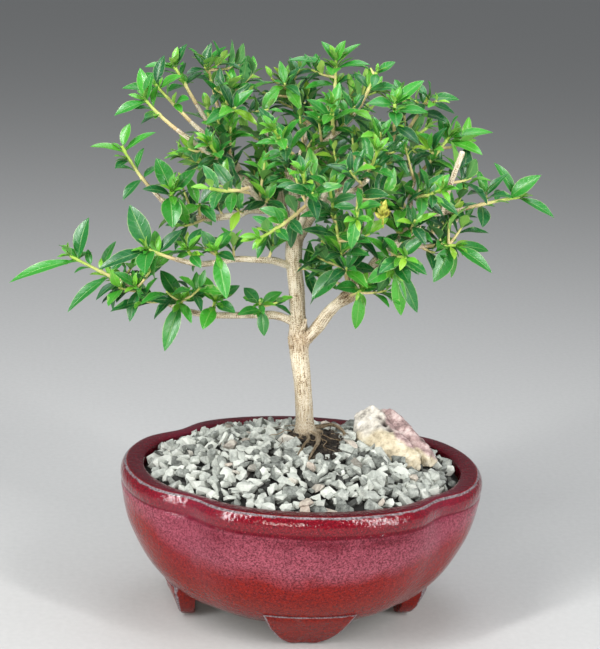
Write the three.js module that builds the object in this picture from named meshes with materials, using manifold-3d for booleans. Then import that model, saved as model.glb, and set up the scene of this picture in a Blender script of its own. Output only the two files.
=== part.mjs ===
// Serissa bonsai in a glazed mokko pot.
// Units are millimetres and +Z is up. The pot's long axis is X and its front faces -Y.
// The origin is the middle of the whole plant and pot in plan, on the ground under the feet.

import * as THREE from 'three';
import { ConvexGeometry } from 'three/addons/geometries/ConvexGeometry.js';
import { mergeVertices } from 'three/addons/utils/BufferGeometryUtils.js';
import Module from 'manifold-3d';

const wasm = await Module();
wasm.setup();

// Driving dimensions of the pot
const POT_HALF_LENGTH = 95;
const POT_HALF_WIDTH = 78;
const RIM_HEIGHT = 83;
const LIP_WIDTH = 12;
const FLOOR_UNDERSIDE = 13;
const FLOOR_TOP = 20;
const NOTCH_DEPTH = 0.062;
const NOTCH_SPREAD = 0.17;
const POT_SEGMENTS = 40;
const FOOT_TOP_WIDTH = 46;
const FOOT_BOTTOM_WIDTH = 13;
const FRONT_FOOT_REACH = 48.5;
const END_FOOT_REACH = 66.5;
const FOOT_LEAN = 0.3;
const FOOT_THICKNESS = 13;
const DRAIN_OFFSET = 34;
const DRAIN_RADIUS = 7;
const SCREEN_RADIUS = 11;
const SCREEN_THICKNESS = 1.4;
const SCREEN_HOLE = 3.4;
const SCREEN_PITCH = 5.4;

// Driving dimensions of what fills the pot
const GAP = 0.3;
const WALL_GAP = 0.4;
const GRAVEL_EDGE_HEIGHT = 78.5;
const GRAVEL_CROWN = 16.5;
const GRAVEL_DEPTH = 8;
const CHIP_PITCH = 12.8;
const CHIP_ROW = 11;
const MOUND_SEGMENTS = 14;
const TRUNK_HOLE_RADIUS = 10.5;
const SOIL_COLLAR_HEIGHT = 93.5;

// Driving dimensions of the tree
const TREE_TURN = THREE.MathUtils.degToRad(-8.2);
const TRUNK_FOOT = new THREE.Vector3(0, 10, 96);
const LIMB_SIDES = 6;
const TWIG_SIDES = 5;
const TWIG_RADIUS = 2.1;
const TRUNK_SIDES = 10;
const STEM_RADIUS = 1;
const TIP_RADIUS = 0.75;
const LEAF_KEEL = 1.2;
const LEAF_DROOP = 0.6;
const WIDE_LEAF = 7.9;
const INTERNODE = 6.4;
const NODE_HEIGHT = 1.5;
const BUD_LENGTH = 1.6;
const NODE_SPACE = 0.7;
const STEM_STEP = 0.2;
const LEAF_ROOM = 0.35;
const SLIM_ROOM = 0.05;
const LEAST_OUTWARD = 0.27;
const LEAF_RISE = 0.12;
const STONE_ROOM = 1.035;

const WORLD_UP = new THREE.Vector3(0, 0, 1);

const v3 = (p) => new THREE.Vector3(p[0], p[1], p[2]);

// A repeatable draw between 0 and 1 from three whole numbers, by mixing their bits.
function chance(a, b, c) {
  let h = Math.imul(a + 1, 0x9e3779b1) ^ Math.imul(b + 1, 0x85ebca6b) ^ Math.imul(c + 1, 0xc2b2ae35);
  h = Math.imul(h ^ (h >>> 15), 0x2c1b3c6d);
  h = Math.imul(h ^ (h >>> 12), 0x297a2d39);
  return ((h ^ (h >>> 15)) >>> 0) / 4294967296;
}

// A closed solid from a THREE geometry.
function toSolid(geometry) {
  const bare = geometry.clone();
  bare.deleteAttribute('normal');
  bare.deleteAttribute('uv');
  const merged = mergeVertices(bare, 1e-4);
  const triangles = [];
  for (let i = 0; i < merged.index.count; i += 3) {
    const [a, b, c] = [0, 1, 2].map((k) => merged.index.getX(i + k));
    if (a !== b && b !== c && c !== a) triangles.push(a, b, c);
  }
  return new wasm.Manifold(new wasm.Mesh({
    numProp: 3,
    vertProperties: new Float32Array(merged.attributes.position.array),
    triVerts: new Uint32Array(triangles),
  }));
}

// The largest body of a solid: scraps that a cut leaves loose are dropped.
function largest(solid) {
  const pieces = solid.decompose();
  pieces.sort((a, b) => b.volume() - a.volume());
  return pieces[0];
}

function toGeometry(solid) {
  const mesh = solid.getMesh();
  const geometry = new THREE.BufferGeometry();
  geometry.setAttribute('position', new THREE.BufferAttribute(mesh.vertProperties, 3));
  geometry.setIndex(new THREE.BufferAttribute(mesh.triVerts, 1));
  return geometry;
}

// A skin through a list of rings with the same number of points; a ring of one point closes that end,
// and any other end is closed by a flat cap. Rings run anticlockwise seen from the far end.
function skin(rings) {
  const positions = [];
  const starts = [];
  for (const ring of rings) {
    starts.push(positions.length / 3);
    for (const point of ring) positions.push(point.x, point.y, point.z);
  }
  const index = [];
  for (let k = 0; k + 1 < rings.length; k++) {
    const n = Math.max(rings[k].length, rings[k + 1].length);
    for (let i = 0; i < n; i++) {
      const j = (i + 1) % n;
      const a = starts[k];
      const b = starts[k + 1];
      if (rings[k].length === 1) index.push(a, b + j, b + i);
      else if (rings[k + 1].length === 1) index.push(a + i, a + j, b);
      else index.push(a + i, a + j, b + j, a + i, b + j, b + i);
    }
  }
  const last = starts[rings.length - 1];
  for (let i = 1; i + 1 < rings[0].length; i++) index.push(0, i + 1, i);
  for (let i = 1; i + 1 < rings[rings.length - 1].length; i++) index.push(last, last + i, last + i + 1);
  const geometry = new THREE.BufferGeometry();
  geometry.setAttribute('position', new THREE.Float32BufferAttribute(positions, 3));
  geometry.setIndex(index);
  return geometry;
}

// A tapered tube with a ring at each point, its ends square to its run and longer by pad.
function tube(points, radii, sides, pad = 0) {
  const rings = [];
  const side = new THREE.Vector3();
  const last = points.length - 1;
  for (let k = 0; k <= last; k++) {
    const tangent = points[Math.min(k + 1, last)].clone().sub(points[Math.max(k - 1, 0)]).normalize();
    const upright = Math.abs(tangent.z) > 0.8;
    if (k === 0) side.crossVectors(upright ? new THREE.Vector3(0, 1, 0) : WORLD_UP, tangent);
    side.addScaledVector(tangent, -side.dot(tangent)).normalize();
    const lift = tangent.clone().cross(side);
    const centre = points[k].clone();
    if (k === 0) centre.addScaledVector(tangent, -pad);
    if (k === last) centre.addScaledVector(tangent, pad);
    const ring = [];
    for (let i = 0; i < sides; i++) {
      const turn = (2 * Math.PI * i) / sides;
      ring.push(centre.clone()
        .addScaledVector(side, Math.cos(turn) * (radii[k] + pad))
        .addScaledVector(lift, Math.sin(turn) * (radii[k] + pad)));
    }
    rings.push(ring);
  }
  return skin(rings);
}

// The pot's plan: an ellipse in its angle t, drawn in at the four corners between its lobes.
function potRing(scale, inset, notch, z) {
  const ring = [];
  for (let i = 0; i < POT_SEGMENTS; i++) {
    const t = (2 * Math.PI * i) / POT_SEGMENTS;
    const corner = Math.abs((t % (Math.PI / 2)) - Math.PI / 4);
    const drawIn = 1 - notch * Math.exp(-((corner / NOTCH_SPREAD) ** 2));
    const x = (POT_HALF_LENGTH * scale - inset) * drawIn * Math.cos(t);
    const y = (POT_HALF_WIDTH * scale - inset) * drawIn * Math.sin(t);
    ring.push(new THREE.Vector3(x, y, z));
  }
  return ring;
}

const centreAt = (z) => [new THREE.Vector3(0, 0, z)];

// The hollow of the pot from its floor to z, drawn in by gap. The wall under the lip is upright.
function potHollow(gap, floor, top) {
  const wall = (scale, z) => potRing(scale, LIP_WIDTH + gap, NOTCH_DEPTH * 0.45, z);
  return skin([
    centreAt(floor),
    wall(0.62, floor),
    wall(0.86, floor + 18),
    wall(1.0, floor + 45),
    wall(1.0, top),
    centreAt(top),
  ]);
}

function makeFoot(towards, reach) {
  const half = FOOT_TOP_WIDTH / 2;
  const toe = FOOT_BOTTOM_WIDTH / 2;
  const top = FLOOR_UNDERSIDE + 5;
  const shape = new THREE.Shape();
  shape.moveTo(-toe, 0);
  shape.lineTo(toe, 0);
  shape.quadraticCurveTo(half * 0.82, 2.5, half, top);
  shape.lineTo(-half, top);
  shape.quadraticCurveTo(-half * 0.82, 2.5, -toe, 0);
  const depth = FOOT_THICKNESS;
  const foot = new THREE.ExtrudeGeometry(shape, { depth, bevelEnabled: false, curveSegments: 4 });
  foot.rotateX(Math.PI / 2);
  foot.translate(0, -reach + FOOT_THICKNESS, 0);
  // the face leans in towards its toe
  const position = foot.attributes.position;
  for (let i = 0; i < position.count; i++) {
    position.setY(i, position.getY(i) + (top - position.getZ(i)) * FOOT_LEAN);
  }
  foot.rotateZ(towards);
  return foot;
}

function makePot() {
  const outer = (scale, notch, z) => potRing(scale, 0, NOTCH_DEPTH * notch, z);
  const body = toSolid(skin([
    centreAt(FLOOR_UNDERSIDE),
    outer(0.61, 0.3, FLOOR_UNDERSIDE),
    outer(0.73, 0.4, 20.5),
    outer(0.85, 0.45, 33.5),
    outer(0.94, 0.5, 50),
    outer(0.985, 0.7, 66),
    outer(1.0, 1.0, 76),
    outer(0.998, 1.0, 81.5),
    potRing(1.0, 2, NOTCH_DEPTH, RIM_HEIGHT),
    centreAt(RIM_HEIGHT),
  ]));
  let pot = body.subtract(toSolid(potHollow(0, FLOOR_TOP, RIM_HEIGHT + 5)));
  const quarter = Math.PI / 2;
  pot = pot.add(toSolid(makeFoot(0, FRONT_FOOT_REACH)));
  pot = pot.add(toSolid(makeFoot(2 * quarter, FRONT_FOOT_REACH)));
  pot = pot.add(toSolid(makeFoot(quarter, END_FOOT_REACH)));
  pot = pot.add(toSolid(makeFoot(-quarter, END_FOOT_REACH)));
  for (const side of [-1, 1]) {
    const drain = new THREE.CylinderGeometry(DRAIN_RADIUS, DRAIN_RADIUS, 30, 16);
    drain.rotateX(Math.PI / 2);
    drain.translate(side * DRAIN_OFFSET, 0, FLOOR_UNDERSIDE + 3);
    pot = pot.subtract(toSolid(drain));
  }
  return pot;
}

// A thin round mesh with five square holes, lying over a drain hole.
function makeScreen(side) {
  const plate = new THREE.CylinderGeometry(SCREEN_RADIUS, SCREEN_RADIUS, SCREEN_THICKNESS, 16);
  plate.rotateX(Math.PI / 2);
  let screen = toSolid(plate);
  for (const [i, j] of [[0, 0], [1, 0], [-1, 0], [0, 1], [0, -1]]) {
    const hole = new THREE.BoxGeometry(SCREEN_HOLE, SCREEN_HOLE, 3 * SCREEN_THICKNESS);
    hole.translate(i * SCREEN_PITCH, j * SCREEN_PITCH, 0);
    screen = screen.subtract(toSolid(hole));
  }
  return screen.translate([side * DRAIN_OFFSET, 0, FLOOR_TOP + GAP + SCREEN_THICKNESS / 2]);
}

// Height of the gravel: a mound that is highest about the trunk and falls to the walls.
function gravelHeight(x, y) {
  const reach = Math.hypot(x / (POT_HALF_LENGTH - LIP_WIDTH), y / (POT_HALF_WIDTH - LIP_WIDTH));
  return GRAVEL_EDGE_HEIGHT + GRAVEL_CROWN * (1 - Math.min(1, reach) ** 2.4);
}

// The mound under the gravel, as a round-cornered heap that ends past the walls.
function soilMound(lift) {
  const rings = [centreAt(0)];
  const shelf = (reach, z) => {
    const ring = [];
    for (let i = 0; i < MOUND_SEGMENTS; i++) {
      const t = (2 * Math.PI * i) / MOUND_SEGMENTS;
      const x = (POT_HALF_LENGTH - LIP_WIDTH) * reach * Math.cos(t);
      const y = (POT_HALF_WIDTH - LIP_WIDTH) * reach * Math.sin(t);
      ring.push(new THREE.Vector3(x, y, z ?? gravelHeight(x, y) - GRAVEL_DEPTH + lift));
    }
    return ring;
  };
  rings.push(shelf(1.3, 0), shelf(1.3), shelf(0.95), shelf(0.6));
  rings.push(centreAt(gravelHeight(0, 0) - GRAVEL_DEPTH + lift));
  return toSolid(skin(rings));
}

// The bare soil that rises to the surface round the trunk.
function soilCollar(pad) {
  const radius = TRUNK_HOLE_RADIUS - GAP + pad;
  const collar = new THREE.CylinderGeometry(radius - 2, radius, 20, 10);
  collar.rotateX(Math.PI / 2);
  const foot = treePoint(TRUNK_FOOT);
  collar.translate(foot.x, foot.y - 2, SOIL_COLLAR_HEIGHT - 10 + pad);
  return toSolid(collar);
}

// Chips of gravel as relief: a jittered net of valleys, each cell holding one flat-topped, tilted chip.
function gravelRelief() {
  const rows = 15;
  const columns = 17;
  const positions = [];
  const index = [];
  const netIndex = new Map();
  const addPoint = (x, y, z) => {
    positions.push(x, y, z);
    return positions.length / 3 - 1;
  };
  const netSpot = (m, k) => {
    const x = (m - columns) * (CHIP_PITCH / 2) + (chance(m, k, 11) - 0.5) * CHIP_PITCH * 0.34;
    const stagger = (m - k) % 2 === 0 ? CHIP_ROW / 6 : -CHIP_ROW / 6;
    const y = (k - rows / 2) * CHIP_ROW + stagger + (chance(m, k, 12) - 0.5) * CHIP_ROW * 0.34;
    return [x, y];
  };
  const net = (m, k) => {
    const key = `${m}_${k}`;
    if (!netIndex.has(key)) {
      const [x, y] = netSpot(m, k);
      netIndex.set(key, addPoint(x, y, gravelHeight(x, y) - 3.4 - 1.2 * chance(m, k, 13)));
    }
    return netIndex.get(key);
  };
  for (let k = 0; k < rows; k++) {
    for (let column = 0; column < columns; column++) {
      const m = 2 * column + (k % 2);
      const corners = [[m, k], [m + 1, k], [m + 2, k], [m + 2, k + 1], [m + 1, k + 1], [m, k + 1]];
      const outer = corners.map(([a, b]) => net(a, b));
      const spots = corners.map(([a, b]) => netSpot(a, b));
      const cx = spots.reduce((sum, p) => sum + p[0], 0) / 6;
      const cy = spots.reduce((sum, p) => sum + p[1], 0) / 6;
      const tiltX = (chance(m, k, 14) - 0.5) * 0.7;
      const tiltY = (chance(m, k, 15) - 0.5) * 0.7;
      const rise = 1.6 * chance(m, k, 16) - 0.4;
      const inner = [0, 2, 3, 5].map((c, n) => {
        const shrink = 0.52 + 0.3 * chance(m, k, 20 + n);
        const x = cx + (spots[c][0] - cx) * shrink;
        const y = cy + (spots[c][1] - cy) * shrink;
        return addPoint(x, y, gravelHeight(cx, cy) + rise + tiltX * (x - cx) + tiltY * (y - cy));
      });
      const [o0, o1, o2, o3, o4, o5] = outer;
      const [i0, i2, i3, i5] = inner;
      index.push(o0, o1, i0, o1, i2, i0, o1, o2, i2, o2, o3, i3, o2, i3, i2);
      index.push(o3, o4, i3, o4, i5, i3, o4, o5, i5, o5, o0, i0, o5, i0, i5);
      index.push(i0, i2, i3, i0, i3, i5);
    }
  }
  return closeDown(positions, index, 40);
}

// Closes an open sheet with walls and a floor: each rim edge drops to the plane at z, and fans to a middle.
function closeDown(positions, index, z) {
  const edges = new Map();
  for (let i = 0; i < index.length; i += 3) {
    for (let e = 0; e < 3; e++) {
      const a = index[i + e];
      const b = index[i + ((e + 1) % 3)];
      if (edges.has(`${b}_${a}`)) edges.delete(`${b}_${a}`);
      else edges.set(`${a}_${b}`, [a, b]);
    }
  }
  const dropped = new Map();
  const drop = (a) => {
    if (!dropped.has(a)) {
      positions.push(positions[3 * a], positions[3 * a + 1], z);
      dropped.set(a, positions.length / 3 - 1);
    }
    return dropped.get(a);
  };
  positions.push(0, 0, z);
  const middle = positions.length / 3 - 1;
  for (const [a, b] of edges.values()) {
    const lowA = drop(a);
    const lowB = drop(b);
    index.push(b, a, lowA, b, lowA, lowB, lowB, lowA, middle);
  }
  const geometry = new THREE.BufferGeometry();
  geometry.setAttribute('position', new THREE.Float32BufferAttribute(positions, 3));
  geometry.setIndex(index);
  return toSolid(geometry);
}

// The tree is described in a frame of its own, turned a little from the pot's about the upright.
function treePoint(p) {
  return p.clone().applyAxisAngle(WORLD_UP, TREE_TURN);
}

// The accent stone is two lumps grown together: a cream one in front and a pink one behind its right side.
const CREAM_LUMP = [
  [27, 28, 84], [33, 14, 84], [43, 3, 84], [53, -5, 84], [61, -6, 84], [50, 12, 84], [40, 28, 84],
  [35, 26, 109], [26, 30, 102], [26, 28, 92], [28, 24, 89], [31, 16, 92], [34, 10, 90], [42, 2, 91],
  [53, -6, 91], [62, -5, 92], [38, 16, 102], [46, 8, 96], [43, 22, 103],
];
const PINK_LUMP = [
  [36, 36, 84], [50, 40, 84], [64, 26, 84], [72, 10, 84], [67, -1, 84], [52, 6, 84],
  [39, 30, 105], [46, 27, 107], [52, 24, 103], [58, 17, 99], [67, 4, 93], [65, -1, 90],
  [43, 24, 100], [47, 14, 96], [56, 6, 91],
];

// A convex lump, grown about its own middle.
function makeLump(corners, grow) {
  const points = corners.map((p) => treePoint(v3(p)));
  const middle = new THREE.Vector3();
  for (const point of points) middle.addScaledVector(point, 1 / points.length);
  return toSolid(new ConvexGeometry(points.map((point) => middle.clone().lerp(point, grow))));
}

function makeStone(grow) {
  return makeLump(CREAM_LUMP, grow).add(makeLump(PINK_LUMP, grow));
}

// The wood, limb by limb: each limb is a list of [x, y, z, radius] along its run, and it starts inside
// the limb that it grows from.
const LIMBS = {
  trunk: [
    [0, 10, 66, 2.4], [0, 10, 84, 4.6], [0, 10, 93, 6.4], [0, 10, 97, 5.5],
    [-0.6, 10, 104, 4.5], [-2.7, 10, 122, 4.3],
    [-5.5, 10, 139, 4.7], [-6, 10, 146, 5.3], [-6.5, 10, 152, 4.7], [-7.5, 10, 160, 3.9], [-9, 10, 174, 3.8],
    [-11, 10, 186, 3.9], [-11.5, 10, 196, 4.3], [-11, 10, 203, 3.4],
  ],
  rootFront: [[2, 10, 97, 1.8], [8, 11, 96.5, 1.6], [8, 5, 96, 1.4], [5, -3, 95, 1.2], [2, -10, 92.5, 0.9]],
  rootLeft: [[-1, 9, 97, 1.8], [-2, 3, 96, 1.4], [-4, -5, 94.6, 1.1], [-6, -11, 92, 0.8]],
  rootRight: [
    [2, 12, 98, 1.8], [8, 18, 97, 1.4], [14, 22, 97, 1.2], [19, 18, 96.4, 1.1], [23, 11, 93.5, 0.8],
  ],
  lowLeft: [
    [-8, 10, 155, 1.8], [-18, 9, 159, 2.1], [-30, 8, 159, 1.8], [-43, 7, 158, 1.6], [-56, 6, 158, 1.6],
    [-68, 4, 161, 1.4], [-84, 2, 168, 1.3], [-97, 0, 174, 1.1],
  ],
  midLeft: [
    [-11, 9, 185, 1.8], [-21, 4, 189, 1.9], [-28, 0, 190, 1.6], [-40, -6, 191, 1.5], [-47, -9, 190, 1.4],
    [-58, -13, 189, 1.3], [-70, -18, 192, 1.1],
  ],
  leftLimb: [
    [-11, 10, 198, 3.2], [-17, 11, 206, 3.4], [-24, 12, 213, 3.0], [-33, 8, 223, 2.6], [-40, 4, 231, 2.6],
    [-45, 0, 236, 4.2], [-48, -2, 239, 2.4],
  ],
  highLeft: [
    [-24, 12, 213, 1.8], [-35, 12, 213, 1.9], [-41, 12, 210, 1.7], [-54, 10, 208, 1.6], [-62, 9, 208, 1.4],
    [-72, 8, 210, 1.4], [-79, 6, 216, 1.2], [-84, 5, 221, 1.0],
  ],
  fanLow: [[-46, -1, 237, 1.3], [-60, -10, 247, 1.2], [-72, -15, 256, 1.0]],
  fanMid: [[-46, 0, 237, 1.4], [-56, -3, 250, 1.3], [-66, -6, 259, 1.0]],
  fanHigh: [[-46, 0, 237, 1.4], [-55, 3, 253, 1.3], [-64, 5, 266, 1.0]],
  fanTop: [[-45, 1, 237, 1.3], [-49, 8, 252, 1.2], [-54, 12, 265, 1.0]],
  middleLimb: [
    [-11, 9, 199, 2.6], [-12, 6, 214, 2.6], [-13, 4, 228, 3.0], [-13, 3, 236, 5.2], [-12, 3, 242, 3.0],
  ],
  backStub: [[-13, 10, 203, 2.6], [-19, 15, 214, 2.8], [-22, 20, 224, 2.4], [-28, 26, 238, 2.2]],
  crownLimb: [[-12, 4, 238, 1.8], [-4, 6, 246, 1.6], [5, 8, 256, 1.4], [5, 10, 268, 1.1]],
  crownRight: [[0, 6, 250, 1.4], [10, 3, 260, 1.2], [17, 3, 270, 1.0]],
  crownBack: [[-12, 6, 238, 1.6], [-9, 20, 250, 1.3], [-6, 28, 264, 1.0]],
  rightLimb: [
    [-10, 10, 199, 2.8], [-6, 8, 209, 2.8], [0, 4, 218, 2.4], [7, 0, 226, 2.2], [16, -4, 236, 1.8],
  ],
  rightStub: [[0, 4, 218, 1.6], [3, -4, 227, 1.7], [6, -9, 235, 1.6]],
  rightHigh: [[14, -3, 234, 1.5], [24, -8, 246, 1.3], [34, -12, 256, 1.0]],
  rightBack: [[5, 1, 224, 1.6], [18, 10, 236, 1.4], [33, 16, 247, 1.2], [42, 14, 258, 1.0]],
  lowRight: [
    [-5, 10, 143, 2.6], [3, 6, 155, 3.1], [8, 2, 164, 2.9], [13, -3, 171, 2.7], [18, -6, 176, 3.5],
    [24, -10, 186, 2.0], [29, -14, 196, 1.8], [36, -18, 204, 1.7], [46, -22, 216, 3.0], [49, -22, 219, 1.8],
  ],
  greyRiser: [
    [18, -7, 176, 1.5], [18, -12, 198, 1.5], [21, -14, 210, 1.4], [20, -16, 224, 1.4], [21, -17, 238, 1.3],
  ],
  lowRightTwig: [[36, -18, 203, 1.1], [44, -18, 205, 1.1], [54, -17, 206, 1.0]],
  sideRiser: [[46, -21, 216, 1.3], [44, -15, 230, 1.2], [46, -11, 238, 1.0]],
  sideTwig: [[47, -22, 217, 1.4], [54, -19, 222, 1.3], [62, -15, 223, 1.2], [72, -12, 225, 1.0]],
  sideStub: [[60, -16, 223, 1.2], [63, -19, 238, 1.2], [67, -24, 255, 1.3]],
  backLimb: [[-11, 11, 197, 2.2], [-4, 24, 212, 2.0], [2, 40, 226, 1.7], [5, 52, 240, 1.2]],
  backLeft: [[-1, 32, 219, 1.4], [-16, 46, 234, 1.3], [-30, 56, 246, 1.0]],
  backRight: [[1, 36, 222, 1.4], [20, 48, 236, 1.3], [36, 54, 246, 1.0]],
  leftBack: [[-31, 9, 221, 1.5], [-46, 26, 232, 1.3], [-60, 38, 242, 1.0]],
  rightRear: [[22, -9, 183, 1.6], [38, 4, 194, 1.5], [56, 16, 204, 1.3], [72, 24, 212, 1.0]],
  frontLimb: [[-11, 9, 202, 1.8], [-8, -8, 213, 1.7], [-6, -26, 225, 1.4], [-4, -38, 236, 1.0]],
  frontLeft: [[-24, 12, 213, 1.6], [-29, -6, 221, 1.4], [-35, -24, 231, 1.0]],
  frontRight: [[7, 0, 226, 1.6], [15, -18, 231, 1.4], [22, -34, 240, 1.0]],
};

function makeWood(pad) {
  let wood = null;
  for (const [name, run] of Object.entries(LIMBS)) {
    const points = run.map((p) => treePoint(v3(p)));
    const radii = run.map((p) => p[3]);
    let sides = Math.max(...radii) > TWIG_RADIUS ? LIMB_SIDES : TWIG_SIDES;
    if (name === 'trunk') sides = TRUNK_SIDES;
    const limb = toSolid(tube(points, radii, sides, pad));
    wood = wood === null ? limb : wood.add(limb);
  }
  return wood;
}

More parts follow.
